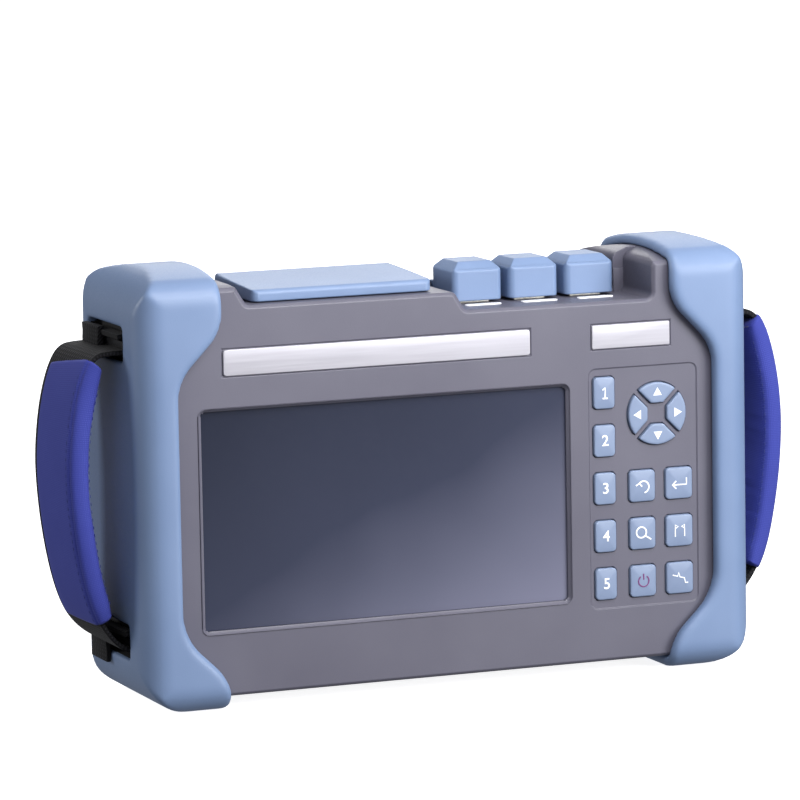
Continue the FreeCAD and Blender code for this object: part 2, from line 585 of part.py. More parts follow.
def keypad_recess():
    centre_x, centre_z = (KEYPAD_LEFT + KEYPAD_RIGHT) / 2, (KEYPAD_BOTTOM + KEYPAD_TOP) / 2
    outline = rectangle(centre_x, centre_z, KEYPAD_RIGHT - KEYPAD_LEFT, KEYPAD_TOP - KEYPAD_BOTTOM)
    return front_prism(outline, KEYPAD_CORNER, FACE_Y - 1, FACE_Y + KEYPAD_DEPTH)


def plate_pockets():
    depth = PLATE_THICKNESS - PLATE_PROUD
    return [front_prism(rectangle(x, z, width + 2 * PLATE_GAP, height + 2 * PLATE_GAP), 0,
                        FACE_Y - 1, FACE_Y + depth) for x, z, width, height in (TITLE_PLATE, BADGE_PLATE)]


def plate(x, z, width, height):
    return front_prism(rectangle(x, z, width, height), 0, FACE_Y - PLATE_PROUD,
                       FACE_Y - PLATE_PROUD + PLATE_THICKNESS)


def top_openings():
    """Holes through the ledge and the bay floor for the sockets and the fibre adapters."""
    below, above = LEDGE_Z - CASE_WALL - 1, LEDGE_Z + 1
    openings = [top_prism(rectangle(x, SOCKET_ROW_Y, width + 2 * SOCKET_GAP, depth + 2 * SOCKET_GAP), 0,
                          below, above) for x, width, depth in socket_bodies()]
    return openings + [adapter_tail(x, ADAPTER_TAIL_GAP) for x in CAP_XS]


def socket_bodies():
    """Centre x, width and depth of each socket body under the port cover."""
    places = [(NETWORK_SOCKET_X, NETWORK_SOCKET), (DEVICE_SOCKET_X, DEVICE_SOCKET),
              (POWER_SOCKET_X, (POWER_SOCKET_SIZE, POWER_SOCKET_SIZE))]
    places += [(x, HOST_SOCKET) for x in HOST_SOCKET_XS]
    return [(x, size[0], size[1]) for x, size in places]


def ledge_posts(front):
    """Posts under the ledge that carry the ports board."""
    x_from, x_to, y_from, y_to = PORTS_BOARD
    half = POST_SIDE / 2
    y = y_from + half if front else y_to - half
    return [box(x - half, x + half, y - half, y + half, PORTS_BOARD_TOP_Z, LEDGE_Z - CASE_WALL + BURIED)
            for x in (x_from + half, x_to - half)]


def board_corners(board):
    """Where the posts of an upright board stand, given the board's x and z limits."""
    x_from, x_to, z_from, z_to = board
    inset = POST_SIDE / 2 + POST_INSET
    return [(x, z) for x in (x_from + inset, x_to - inset) for z in (z_from + inset, z_to - inset)]


def rear_case():
    """Rear shell with the battery well, the niche of the kickstand and the lugs of both hinges."""
    skin = shell_skin(CROWN_Y, BACK_Y, BAY_REAR_RIGHT_X, BACK_Y)
    shell = skin.cut(cavity(CROWN_Y - 1, INNER_BACK_Y, BAY_REAR_RIGHT_X))
    posts = [post(x, z, MODULE_BACK_Y, BACK_Y - BURIED) for x, z in board_corners(MODULE_BACK)]
    shell = fuse(shell, battery_well(), stand_niche(), *posts, *ledge_posts(front=False), *hinge_lugs())
    bores = [rod(x - length / 2, y, z, HINGE_PIN_RADIUS, length, ALONG_X)
             for x, length, y, z in hinge_pins()]
    return largest(shell.cut(battery_room() + stand_room() + bores + top_openings()))


def battery_well():
    return box_about(BATTERY[0] + 2 * (BATTERY_GAP + WELL_WALL), BATTERY[2] + 2 * (BATTERY_GAP + WELL_WALL),
                     BATTERY_Z, WELL_FLOOR_Y - WELL_WALL, BACK_Y - BURIED)


def battery_room():
    """What is cut out for the battery and for its door."""
    well = box_about(BATTERY[0] + 2 * BATTERY_GAP, BATTERY[2] + 2 * BATTERY_GAP, BATTERY_Z,
                     WELL_FLOOR_Y, BACK_Y + 1)
    doorway = rectangle(0, BATTERY_Z, DOOR_WIDTH + 2 * DOOR_GAP, DOOR_HEIGHT + 2 * DOOR_GAP)
    return [well, front_prism(doorway, DOOR_CORNER, BACK_Y - DOOR_THICKNESS, BACK_Y + 1)]


def stand_niche():
    height = STAND_HEIGHT + STAND_FINGER[1] + 2 * CASE_WALL
    return box_about(STAND_WIDTH + 2 * (STAND_GAP + CASE_WALL), height, STAND_TOP_Z + CASE_WALL - height / 2,
                     STAND_FLOOR_Y - CASE_WALL, BACK_Y - BURIED)


def stand_room():
    """What is cut out for the kickstand, its pivots and the finger that lifts it."""
    bed = rectangle(0, STAND_Z, STAND_WIDTH + 2 * STAND_GAP, STAND_HEIGHT + 2 * STAND_GAP)
    scoop = box_about(STAND_FINGER[0], 2 * STAND_FINGER[1], STAND_TOP_Z - STAND_HEIGHT,
                      STAND_FLOOR_Y, BACK_Y + 1)
    return [front_prism(bed, [STAND_CORNER, STAND_CORNER, 0, 0], STAND_FLOOR_Y, BACK_Y + 1), scoop,
            stand_pivots(STAND_PIN_LENGTH + 2 * STAND_PIN_GAP, STAND_PIN_GAP)]


def box_about(width, height, z, y_from, y_to):
    return box(-width / 2, width / 2, y_from, y_to, z - height / 2, z + height / 2)


def largest(shape):
    return max(shape.Solids, key=lambda solid: solid.Volume)


# ================================================================ hinges on top
def hinge_lines():
    """Each hinge on top of the case: x of its knuckles, width of a knuckle, axis y, axis z, floor z."""
    caps = (CAP_XS, CAP_PITCH - LUG_WIDTH - 2 * KNUCKLE_GAP, CAP_HINGE_Y, CAP_HINGE_Z, BAY_FLOOR_Z)
    cover_x = (COVER_LEFT_X + COVER_RIGHT_X) / 2
    return [caps, ([cover_x], COVER_KNUCKLE_WIDTH, COVER_HINGE_Y, COVER_HINGE_Z, LEDGE_Z)]


def lug_places(knuckle_xs, width):
    """Middle x of the lug at each end of a hinge and of those between its knuckles."""
    reach = width / 2 + KNUCKLE_GAP + LUG_WIDTH / 2
    return [knuckle_xs[0] - reach] + [x + reach for x in knuckle_xs]


def hinge_pins():
    """Middle x, length, y and z of the pin of each hinge."""
    pins = []
    for knuckle_xs, width, y, z, _ in hinge_lines():
        lugs = lug_places(knuckle_xs, width)
        pins.append(((lugs[0] + lugs[-1]) / 2, lugs[-1] - lugs[0] + LUG_WIDTH, y, z))
    return pins


def hinge_pin(index):
    x, length, y, z = hinge_pins()[index]
    return rod(x - length / 2, y, z, HINGE_PIN_RADIUS, length, ALONG_X)


def hinge_lugs():
    """The lugs on the case that hold the hinge pins."""
    lugs = []
    for knuckle_xs, width, y, z, floor_z in hinge_lines():
        low, side = floor_z - BURIED, KNUCKLE_RADIUS
        outline = [(y - side, low), (y + side, low), (y + side, z + side - LUG_CLIP),
                   (y + side - LUG_CLIP, z + side), (y - side + LUG_CLIP, z + side),
                   (y - side, z + side - LUG_CLIP)]
        lugs += [prism(outline, 0, SIDE(middle - LUG_WIDTH / 2), vector(LUG_WIDTH, 0, 0))
                 for middle in lug_places(knuckle_xs, width)]
    return lugs


def with_knuckle(lid, x, hinge, wall_y):
    """The lid with a knuckle behind its rear wall, bored to turn on the hinge's pin."""
    _, width, y, z, _ = hinge
    barrel = rod(x - width / 2, y, z, KNUCKLE_RADIUS, width, ALONG_X)
    web = box(x - width / 2, x + width / 2, wall_y - BURIED, y, z, z + KNUCKLE_RADIUS)
    bore = rod(x - width / 2 - 1, y, z, HINGE_PIN_RADIUS + HINGE_PIN_GAP, width + 2, ALONG_X)
    return largest(fuse(lid, barrel, web).cut(bore))


def port_cap(x):
    """Hollow cap with a broad bevel round its top, hinged at the back."""
    plan = rectangle(x, CAP_CENTRE_Y, CAP_WIDTH, CAP_DEPTH)
    outer = hood_form(x, 0).common(top_prism(plan, CAP_EDGE_RADIUS, CAP_BOTTOM_Z, CAP_TOP_Z))
    return with_knuckle(outer.cut(hood_form(x, CAP_WALL)), x, hinge_lines()[0], CAP_BACK_Y)


def hood_form(x, inset):
    """Block with bevels along its four top edges, drawn in by inset and let down below the rim."""
    bottom = CAP_BOTTOM_Z - inset
    top = CAP_TOP_Z - inset
    front_view = bevelled(x - CAP_WIDTH / 2 + inset, x + CAP_WIDTH / 2 - inset, bottom, top)
    side_view = bevelled(CAP_FRONT_Y + inset, CAP_BACK_Y - inset, bottom, top)
    along = prism(side_view, 0, SIDE(x - CAP_WIDTH), vector(2 * CAP_WIDTH, 0, 0))
    return front_prism(front_view, 0, CAP_FRONT_Y + inset, CAP_BACK_Y - inset).common(along)


def bevelled(low, high, bottom, top):
    return [(low, bottom), (high, bottom), (high, top - CAP_CHAMFER), (high - CAP_CHAMFER, top),
            (low + CAP_CHAMFER, top), (low, top - CAP_CHAMFER)]


def port_cover():
    """Shallow hollow lid over the sockets, hinged at the back."""
    left, right, front, rear = COVER_LEFT_X, COVER_RIGHT_X, COVER_FRONT_Y, COVER_REAR_Y
    low = LEDGE_Z + COVER_CLEARANCE
    radii = [0, 0, COVER_EDGE_RADIUS, COVER_EDGE_RADIUS]
    side_view = prism([(front, low), (rear, low), (rear, COVER_REAR_Z), (front, COVER_FRONT_Z)], radii,
                      SIDE(left), vector(right - left, 0, 0))
    plan = top_prism([(left, front), (right, front), (right, rear), (left, rear)], COVER_CORNER,
                     low, COVER_REAR_Z)
    end_view = front_prism([(left, low), (right, low), (right, COVER_REAR_Z), (left, COVER_REAR_Z)], radii,
                           front, rear)
    inner_front, inner_rear = front + COVER_WALL, rear - COVER_WALL
    room = [(inner_front, low - 1), (inner_rear, low - 1), (inner_rear, COVER_REAR_Z - COVER_WALL),
            (inner_front, COVER_FRONT_Z - COVER_WALL)]
    hollow = prism(room, 0, SIDE(left + COVER_WALL), vector(right - left - 2 * COVER_WALL, 0, 0))
    lid = side_view.common(plan).common(end_view).cut(hollow)
    hinge = hinge_lines()[1]
    return with_knuckle(lid, hinge[0][0], hinge, COVER_REAR_Y)


# ================================================================ keys
def key_outline(x, width, row, grow=0.0):
    """Outline of a key with clipped corners, or with grow the line at that distance round it."""
    z = KEY_TOP_ROW_Z - row * KEY_ROW_PITCH
    clip = KEY_CORNER + grow * (2 - math.sqrt(2))
    return clipped(rectangle(x, z, width + 2 * grow, KEY_HEIGHT + 2 * grow), clip)


def block_keys():
    """Name, centre x, width and row of every key outside the arrow pad."""
    keys = [("key_%d" % (row + 1), NUMBER_COLUMN, row) for row in range(5)]
    keys += [("key_escape", MIDDLE_COLUMN, 2), ("key_zoom", MIDDLE_COLUMN, 3),
             ("key_power", MIDDLE_COLUMN, 4), ("key_enter", RIGHT_COLUMN, 2),
             ("key_marker", RIGHT_COLUMN, 3), ("key_trace", RIGHT_COLUMN, 4)]
    return [(name, KEYPAD_LEFT + inset, width, row) for name, (inset, width), row in keys]


ARROW_KEYS = (("key_up", 0), ("key_left", 90), ("key_down", 180), ("key_right", 270))


def arrow_sector(turn, grow, y_from, y_to):
    """One quarter of the arrow pad; turn is in degrees from the upper one, anticlockwise."""
    foot = ARROW_PAD_CENTRE / 2 - grow
    lean = grow * math.sqrt(2) - ARROW_PAD_GAP / math.sqrt(2)
    far = 2 * ARROW_PAD_RADIUS
    quarter = [(-foot - lean, foot), (foot + lean, foot), (far + lean, far), (-far - lean, far)]
    wedge = front_prism(quarter, 0, y_from, y_to)
    sector = wedge.common(rod(0, y_from, 0, ARROW_PAD_RADIUS + grow, y_to - y_from, ALONG_Y))
    sector.rotate(vector(0, 0, 0), vector(0, -1, 0), turn)
    sector.translate(vector(ARROW_PAD_X, 0, ARROW_PAD_Z))
    return sector


def key_holes():
    """Holes that the keys come through."""
    deep = (FACE_Y - 1, INNER_FACE_Y + 1)
    holes = [front_prism(key_outline(x, width, row, KEY_GAP), 0, *deep) for _, x, width, row in block_keys()]
    return holes + [arrow_sector(turn, KEY_GAP, *deep) for _, turn in ARROW_KEYS]


def block_key(x, width, row):
    cap = front_prism(key_outline(x, width, row), 0, KEY_TOP_Y, KEY_FLANGE_Y)
    flange = front_prism(key_outline(x, width, row, KEY_FLANGE), 0, KEY_FLANGE_Y,
                         KEY_FLANGE_Y + KEY_FLANGE_THICKNESS)
    return largest(cap.fuse(flange))


def arrow_key(turn):
    cap = arrow_sector(turn, 0, KEY_TOP_Y, KEY_FLANGE_Y)
    flange = arrow_sector(turn, ARROW_PAD_GAP / 2 - KEY_GAP, KEY_FLANGE_Y,
                          KEY_FLANGE_Y + KEY_FLANGE_THICKNESS)
    return largest(cap.fuse(flange))


# ================================================================ screen
def screen_window():
    return front_prism(rectangle(SCREEN_X, SCREEN_Z, GLASS_WIDTH, GLASS_HEIGHT), 0,
                       INNER_FACE_Y, INNER_FACE_Y + GLASS_THICKNESS)


def screen_gasket():
    front = INNER_FACE_Y + GLASS_THICKNESS
    back = front + SCREEN_GASKET_THICKNESS
    ring = front_prism(rectangle(SCREEN_X, SCREEN_Z, GLASS_WIDTH, GLASS_HEIGHT), 0, front, back)
    hole = rectangle(SCREEN_X, SCREEN_Z, SCREEN_WIDTH + GLASS_OVERLAP / 2, SCREEN_HEIGHT + GLASS_OVERLAP / 2)
    return ring.cut(front_prism(hole, 0, front - 1, back + 1))


def lcd_module():
    front = INNER_FACE_Y + GLASS_THICKNESS + SCREEN_GASKET_THICKNESS
    outline = rectangle(SCREEN_X, SCREEN_Z, SCREEN_WIDTH + 2 * LCD_MARGIN, SCREEN_HEIGHT + 2 * LCD_MARGIN)
    return front_prism(outline, 0, front, front + LCD_THICKNESS)


# ================================================================ boards and what they carry
def board(bounds, y_from, thickness):
    """Upright board, given its x and z limits."""
    x_from, x_to, z_from, z_to = bounds
    return box(x_from, x_to, y_from, y_from + thickness, z_from, z_to)


def ports_board():
    return box(*PORTS_BOARD, PORTS_BOARD_TOP_Z - BOARD_THICKNESS, PORTS_BOARD_TOP_Z)


def socket(x, width, depth, mouth):
    """Upright socket body with its mouth upwards."""
    body = top_prism(rectangle(x, SOCKET_ROW_Y, width, depth), 0, PORTS_BOARD_TOP_Z, SOCKET_TOP_Z)
    return body.cut(mouth)


def box_socket(x, width, depth, mouth_width, mouth_depth):
    mouth = top_prism(rectangle(x, SOCKET_ROW_Y, mouth_width, mouth_depth), 0, SOCKET_TOP_Z - SOCKET_DEPTH,
                      SOCKET_TOP_Z + 1)
    return socket(x, width, depth, mouth)


def network_socket():
    x = NETWORK_SOCKET_X
    jack = box_socket(x, *NETWORK_SOCKET)
    latch_y = SOCKET_ROW_Y + NETWORK_SOCKET[3] / 2
    latch = box(x - LATCH_SLOT[0] / 2, x + LATCH_SLOT[0] / 2, latch_y - 1, latch_y + LATCH_SLOT[1],
                SOCKET_TOP_Z - SOCKET_DEPTH, SOCKET_TOP_Z + 1)
    return jack.cut(latch)


def host_sockets():
    return [box_socket(x, *HOST_SOCKET) for x in HOST_SOCKET_XS]


def power_socket():
    mouth = rod(POWER_SOCKET_X, SOCKET_ROW_Y, SOCKET_TOP_Z - SOCKET_DEPTH, POWER_MOUTH_RADIUS,
                SOCKET_DEPTH + 1, ALONG_Z)
    pin = rod(POWER_SOCKET_X, SOCKET_ROW_Y, SOCKET_TOP_Z - SOCKET_DEPTH - BURIED, POWER_PIN_RADIUS,
              SOCKET_DEPTH - 1 + BURIED, ALONG_Z)
    return socket(POWER_SOCKET_X, POWER_SOCKET_SIZE, POWER_SOCKET_SIZE, mouth).fuse(pin)


# ================================================================ optics
def fibre_adapter(x):
    """Round adapter standing on the bay floor, its square tail let into the optical module."""
    flange = top_prism(rectangle(x, CAP_CENTRE_Y, ADAPTER_FLANGE, ADAPTER_FLANGE), 0, BAY_FLOOR_Z,
                       BAY_FLOOR_Z + ADAPTER_FLANGE_THICKNESS)
    barrel = rod(x, CAP_CENTRE_Y, BAY_FLOOR_Z, ADAPTER_BARREL_RADIUS, ADAPTER_TOP_Z - BAY_FLOOR_Z, ALONG_Z)
    bore = rod(x, CAP_CENTRE_Y, ADAPTER_TOP_Z - FERRULE_BORE_LENGTH, FERRULE_BORE_RADIUS,
               FERRULE_BORE_LENGTH + 1, ALONG_Z)
    return fuse(flange, barrel, adapter_tail(x)).cut(bore)


def adapter_tail(x, grow=0.0):
    """Square tail of an adapter, or with a gap round it the hole that it goes into."""
    side = ADAPTER_TAIL_SIDE + 2 * grow
    return top_prism(rectangle(x, CAP_CENTRE_Y, side, side), 0, MODULE_TOP_Z - MODULE_ENTRY - grow,
                     BAY_FLOOR_Z + BURIED)


def optical_module():
    block = box(*MODULE_X, MODULE_FRONT_Y, MODULE_BACK_Y, MODULE_TOP_Z - MODULE_HEIGHT, MODULE_TOP_Z)
    return block.cut([adapter_tail(x, ADAPTER_TAIL_GAP) for x in CAP_XS])


def label_strips():
    width, depth, thickness = LABEL_STRIP
    return [box(x - width / 2, x + width / 2, LABEL_Y - depth / 2, LABEL_Y + depth / 2, BAY_FLOOR_Z,
                BAY_FLOOR_Z + thickness) for x in CAP_XS]


# ================================================================ battery and kickstand
def battery_pack():
    return box_about(BATTERY[0], BATTERY[2], BATTERY_Z, WELL_FLOOR_Y, WELL_FLOOR_Y + BATTERY[1])


def battery_door():
    return front_prism(rectangle(0, BATTERY_Z, DOOR_WIDTH, DOOR_HEIGHT), DOOR_CORNER - DOOR_GAP,
                       BACK_Y - DOOR_THICKNESS, BACK_Y)


def kickstand():
    """Folding frame in the back, with a moulded pivot at each top corner."""
    y_from, y_to = STAND_PIN_Y - STAND_THICKNESS / 2, STAND_PIN_Y + STAND_THICKNESS / 2
    frame = front_prism(rectangle(0, STAND_Z, STAND_WIDTH, STAND_HEIGHT), [STAND_CORNER, STAND_CORNER, 0, 0],
                        y_from, y_to)
    frame = round_edges(frame, STAND_THICKNESS / 2 - 0.02, on_plane("z", STAND_TOP_Z))
    window = rectangle(0, STAND_Z, STAND_WIDTH - 2 * STAND_LEG, STAND_HEIGHT - 2 * STAND_LEG)
    frame = frame.cut(front_prism(window, 0, y_from - 1, y_to + 1))
    return fuse(frame, stand_pivots(STAND_PIN_LENGTH))


def stand_pivots(length, grow=0.0):
    """Round stubs that stand out from both sides of the stand."""
    return Part.makeCompound([rod(side * (STAND_WIDTH / 2 - BURIED), STAND_PIN_Y, STAND_PIN_Z,
                                  STAND_PIN_RADIUS + grow, length + BURIED, ALONG_X * side)
                              for side in (-1, 1)])


# ================================================================ hand straps
def strap_line():
    """Middle line of the webbing from its upper to its lower anchor, as (outward, up), and its radii."""
    bends = [(share, SLOT_UPPER_Z + rise, radius) for share, rise, radius in STRAP_UPPER_PATH]
    bends += [(share, SLOT_LOWER_Z + rise, radius) for share, rise, radius in STRAP_LOWER_PATH]
    middle = [(HALF_WIDTH + share * STRAP_BULGE, z) for share, z, _ in bends]
    upper = tangent_point(middle[0], (ANCHOR_X, SLOT_UPPER_Z), LOOP_RADIUS, -1)
    lower = tangent_point(middle[-1], (ANCHOR_X, SLOT_LOWER_Z), LOOP_RADIUS, -1)
    return [upper] + middle + [lower], [0] + [radius for _, _, radius in bends] + [0]


def tangent_point(outside, centre, radius, side):
    """Where a line from a point outside touches a circle."""
    away_u, away_v = outside[0] - centre[0], outside[1] - centre[1]
    angle = math.atan2(away_v, away_u) + side * math.acos(radius / math.hypot(away_u, away_v))
    return centre[0] + radius * math.cos(angle), centre[1] + radius * math.sin(angle)


def offset_line(points, distance):
    """The polyline moved sideways, positive away from the body on a line that runs downwards."""
    moved = []
    for index in range(len(points)):
        directions = [unit(points[i + 1][0] - points[i][0], points[i + 1][1] - points[i][1])
                      for i in (index - 1, index) if 0 <= i < len(points) - 1]
        normals = [(-v, u) for u, v in directions]
        normal = unit(sum(n[0] for n in normals), sum(n[1] for n in normals))
        stretch = distance / (normal[0] * normals[0][0] + normal[1] * normals[0][1])
        moved.append((points[index][0] + normal[0] * stretch, points[index][1] + normal[1] * stretch))
    return moved


def ribbon(inner, outer, y_from, y_to):
    """Band along the strap's line between two sideways offsets, as a solid of the strap's width."""
    points, radii = strap_line()
    outer_side = offset_line(points, outer)
    inner_side = offset_line(points, inner)
    outline = outer_side + inner_side[::-1]
    all_radii = [r + outer if r else 0 for r in radii] + [r + inner if r else 0 for r in radii[::-1]]
    return prism(outline, all_radii, lambda u, v: vector(u, y_from, v), vector(0, y_to - y_from, 0))


def webbing():
    """Right-hand webbing with a sewn loop round each anchor bar."""
    half = WEBBING_THICKNESS / 2
    y_from, y_to = STRAP_Y - STRAP_WIDTH / 2, STRAP_Y + STRAP_WIDTH / 2
    band = ribbon(-half, half, y_from, y_to)
    loops = [rod(ANCHOR_X, y_from, z, LOOP_RADIUS + half, STRAP_WIDTH, ALONG_Y)
             for z in (SLOT_UPPER_Z, SLOT_LOWER_Z)]
    return largest(fuse(band, *loops).cut(anchor_bars()))


def pad():
    """Right-hand padded sleeve folded round the webbing, open along its rear edge."""
    half = WEBBING_THICKNESS / 2
    y_from = STRAP_Y - STRAP_WIDTH / 2 - PAD_FORWARD
    y_to = STRAP_Y + STRAP_WIDTH / 2 - PAD_SHORT
    sleeve = ribbon(-half - PAD_CHANNEL_GAP - PAD_INNER, half + PAD_CHANNEL_GAP + PAD_OUTER, y_from, y_to)
    channel = ribbon(-half - PAD_CHANNEL_GAP, half + PAD_CHANNEL_GAP,
                     STRAP_Y - STRAP_WIDTH / 2 - PAD_CHANNEL_GAP, y_to + 1)
    return largest(sleeve.cut(channel).common(box(0, FAR, -FAR, FAR, PAD_BOTTOM_Z, PAD_TOP_Z)))


def anchor_bars():
    """The square bars that the right-hand strap is looped round, let into the bumper at both ends."""
    reach, half = SLOT_WIDTH / 2 + ANCHOR_SEAT, ANCHOR_SIDE / 2
    return [box(ANCHOR_X - half, ANCHOR_X + half, STRAP_Y - reach, STRAP_Y + reach, z - half, z + half)
            for z in (SLOT_UPPER_Z, SLOT_LOWER_Z)]


# ================================================================ write the pieces
def save(name, shape):
    if isinstance(shape, (list, tuple)):
        shape = Part.makeCompound(list(shape))
    shape.exportStep("parts/%s.step" % name)


def main():
    os.makedirs("parts", exist_ok=True)
    bumper = right_bumper()
    save("bumper_right", bumper)
    save("bumper_left", mirrored(bumper))
    save("front_case", front_case())
    save("rear_case", rear_case())
    save("screen_window", screen_window())
    save("screen_gasket", screen_gasket())
    save("lcd_module", lcd_module())
    save("title_plate", plate(*TITLE_PLATE))
    save("badge_plate", plate(*BADGE_PLATE))
    for name, x, width, row in block_keys():
        save(name, block_key(x, width, row))
    for name, turn in ARROW_KEYS:
        save(name, arrow_key(turn))
    save("keypad_mat", board(KEYPAD_BOARD, MAT_FRONT_Y, MAT_THICKNESS))
    save("keypad_board", board(KEYPAD_BOARD, MAT_FRONT_Y + MAT_THICKNESS, BOARD_THICKNESS))
    save("main_board", board(MAIN_BOARD, MAIN_BOARD_Y, BOARD_THICKNESS))
    save("ports_board", ports_board())
    save("network_socket", network_socket())
    save("usb_host_sockets", host_sockets())
    save("usb_device_socket", box_socket(DEVICE_SOCKET_X, *DEVICE_SOCKET))
    save("power_socket", power_socket())
    save("optical_module", optical_module())
    for index, x in enumerate(CAP_XS, 1):
        save("fibre_adapter_%d" % index, fibre_adapter(x))
        save("port_cap_%d" % index, port_cap(x))
    save("port_cap_pin", hinge_pin(0))
    save("port_cover", port_cover())
    save("port_cover_pin", hinge_pin(1))
    save("label_strips", label_strips())
    save("battery_pack", battery_pack())
    save("battery_door", battery_door())
    save("kickstand", kickstand())
    for name, shape in (("strap_webbing", webbing()), ("strap_pad", pad())):
        save(name + "_right", shape)
        save(name + "_left", mirrored(shape))
    bars = anchor_bars()
    save("strap_anchor_bars", bars + [mirrored(bar) for bar in bars])


main()
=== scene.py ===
"""Optical time domain reflectometer: finishes, soft rounding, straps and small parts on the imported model."""

import math
from bisect import bisect_right

import bmesh
import bpy
from mathutils import Matrix, Vector, noise


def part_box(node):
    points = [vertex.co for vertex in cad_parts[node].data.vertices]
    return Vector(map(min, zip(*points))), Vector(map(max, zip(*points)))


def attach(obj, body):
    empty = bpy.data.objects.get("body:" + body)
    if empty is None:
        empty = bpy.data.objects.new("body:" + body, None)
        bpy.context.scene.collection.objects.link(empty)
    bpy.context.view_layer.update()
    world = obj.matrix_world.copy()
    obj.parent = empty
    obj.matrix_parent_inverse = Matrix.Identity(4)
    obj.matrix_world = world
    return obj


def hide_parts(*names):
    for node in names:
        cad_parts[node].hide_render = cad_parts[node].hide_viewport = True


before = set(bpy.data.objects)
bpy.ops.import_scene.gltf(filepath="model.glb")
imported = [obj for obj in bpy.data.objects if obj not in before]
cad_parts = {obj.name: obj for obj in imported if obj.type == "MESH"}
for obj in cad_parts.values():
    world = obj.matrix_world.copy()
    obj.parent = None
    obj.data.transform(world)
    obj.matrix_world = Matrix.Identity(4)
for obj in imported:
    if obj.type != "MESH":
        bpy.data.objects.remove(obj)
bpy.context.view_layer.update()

MM = 0.001
WELD = 1e-6                        # points nearer than this, in metres, are one
SIDES = {"left": -1, "right": 1}


# ---------------------------------------------------------------- materials

NOISE_LOW, NOISE_HIGH = 0.3, 0.7   # most of a noise pattern lies between these
WAVE_TURN = math.tau / 20          # a wave texture of scale 1 repeats in this length
REFLECTION_RIGHT, REFLECTION_DOWN = 0.17, 0.22   # how much the painted reflection makes the display paler to the right, and down
DISPLAY_MOTTLE = (0.28, 0.36)
FUZZ_GRAIN, WEAR_GRAIN = 2500, 45          # patches to the metre, in the yarns and over the cloth


def linear(*display):
    """A colour from display values of 0 to 255, by the sRGB curve."""
    parts = [value / 255 for value in display]
    return tuple(part / 12.92 if part < 0.04 else ((part + 0.055) / 1.055) ** 2.4 for part in parts) + (1.0,)


def add(material, kind, **inputs):
    """A new shader node with values on the named inputs."""
    made = material.node_tree.nodes.new(kind)
    for name, value in inputs.items():
        made.inputs[name].default_value = value
    return made


def join(material, source, target):
    material.node_tree.links.new(source, target)


def shader_of(material):
    return material.node_tree.nodes["Principled BSDF"]


def start(name, **sockets):
    """A new material whose shader has the named values."""
    material = bpy.data.materials.new(name + "_finish")
    material.use_nodes = True
    for socket, value in sockets.items():
        shader_of(material).inputs[socket.replace("_", " ")].default_value = value
    return material


def place_of(material, kind="Object", stretch=(1, 1, 1)):
    """The piece's own coordinates, in metres, stretched for a grain with a direction."""
    coordinates = add(material, "ShaderNodeTexCoord")
    spread = add(material, "ShaderNodeMapping", Scale=stretch)
    join(material, coordinates.outputs[kind], spread.inputs["Vector"])
    return spread.outputs["Vector"]


def speckle(material, place, scale, detail=3.0):
    """Cloudy noise from 0 to 1, of about scale patches to the metre."""
    pattern = add(material, "ShaderNodeTexNoise", Scale=scale, Detail=detail)
    join(material, place, pattern.inputs["Vector"])
    return pattern.outputs[0]


def bands(material, place, period, direction):
    """Smooth ribs across X or Y, one in each period."""
    pattern = add(material, "ShaderNodeTexWave", Scale=WAVE_TURN / period)
    pattern.bands_direction = direction
    join(material, place, pattern.inputs["Vector"])
    return pattern.outputs[1]


def between(material, factor, low, high, first=NOISE_LOW, last=NOISE_HIGH):
    """A factor that runs from first to last, turned into a number from low to high."""
    scale = add(material, "ShaderNodeMapRange")
    for socket, value in zip(scale.inputs[1:5], (first, last, low, high)):
        socket.default_value = value
    join(material, factor, scale.inputs[0])
    return scale.outputs[0]


def combined(material, first, second, operation="MULTIPLY"):
    maths = add(material, "ShaderNodeMath")
    maths.operation = operation
    join(material, first, maths.inputs[0])
    join(material, second, maths.inputs[1])
    return maths.outputs[0]


def shades(material, factor, *colours):
    """Colours spread evenly over the middle of a factor's range."""
    ramp = add(material, "ShaderNodeValToRGB")
    stops = ramp.color_ramp.elements
    while len(stops) < len(colours):
        stops.new(0.5)
    for index, colour in enumerate(colours):
        stops[index].position = NOISE_LOW + (NOISE_HIGH - NOISE_LOW) * index / (len(colours) - 1)
        stops[index].color = colour
    join(material, factor, ramp.inputs[0])
    return ramp.outputs[0]


def give(material, colour, gloss, relief, strength=0.2, height=0.1):
    """Links a material's patterns: its colour, its roughness, and a relief whose full height is in mm."""
    shader = shader_of(material)
    bump = add(material, "ShaderNodeBump", Strength=strength, Distance=height * MM)
    join(material, colour, shader.inputs["Base Color"])
    join(material, gloss, shader.inputs["Roughness"])
    join(material, relief, bump.inputs["Height"])
    join(material, bump.outputs[0], shader.inputs["Normal"])
    return material


def moulded(name, dark, light, patch=22, grain=1800, rough=(0.42, 0.56), strength=0.25, **sockets):
    """A moulded plastic, rubber or painted finish: soft patches of shade and a fine spark-eroded grain."""
    material = start(name, **sockets)
    place = place_of(material)
    fine = speckle(material, place, grain)
    colour = shades(material, speckle(material, place, patch), dark, light)
    return give(material, colour, between(material, fine, *rough), fine, strength)


def brushed(name, dark, light, stretch=(30, 900, 900), rough=(0.28, 0.42), metallic=0.9, strength=0.15):
    """Metal with fine lines along the axis that is stretched least."""
    material = start(name, Metallic=metallic)
    lines = speckle(material, place_of(material, stretch=stretch), 1.0, 6.0)
    colour = shades(material, lines, dark, light)
    return give(material, colour, between(material, lines, *rough), lines, strength)


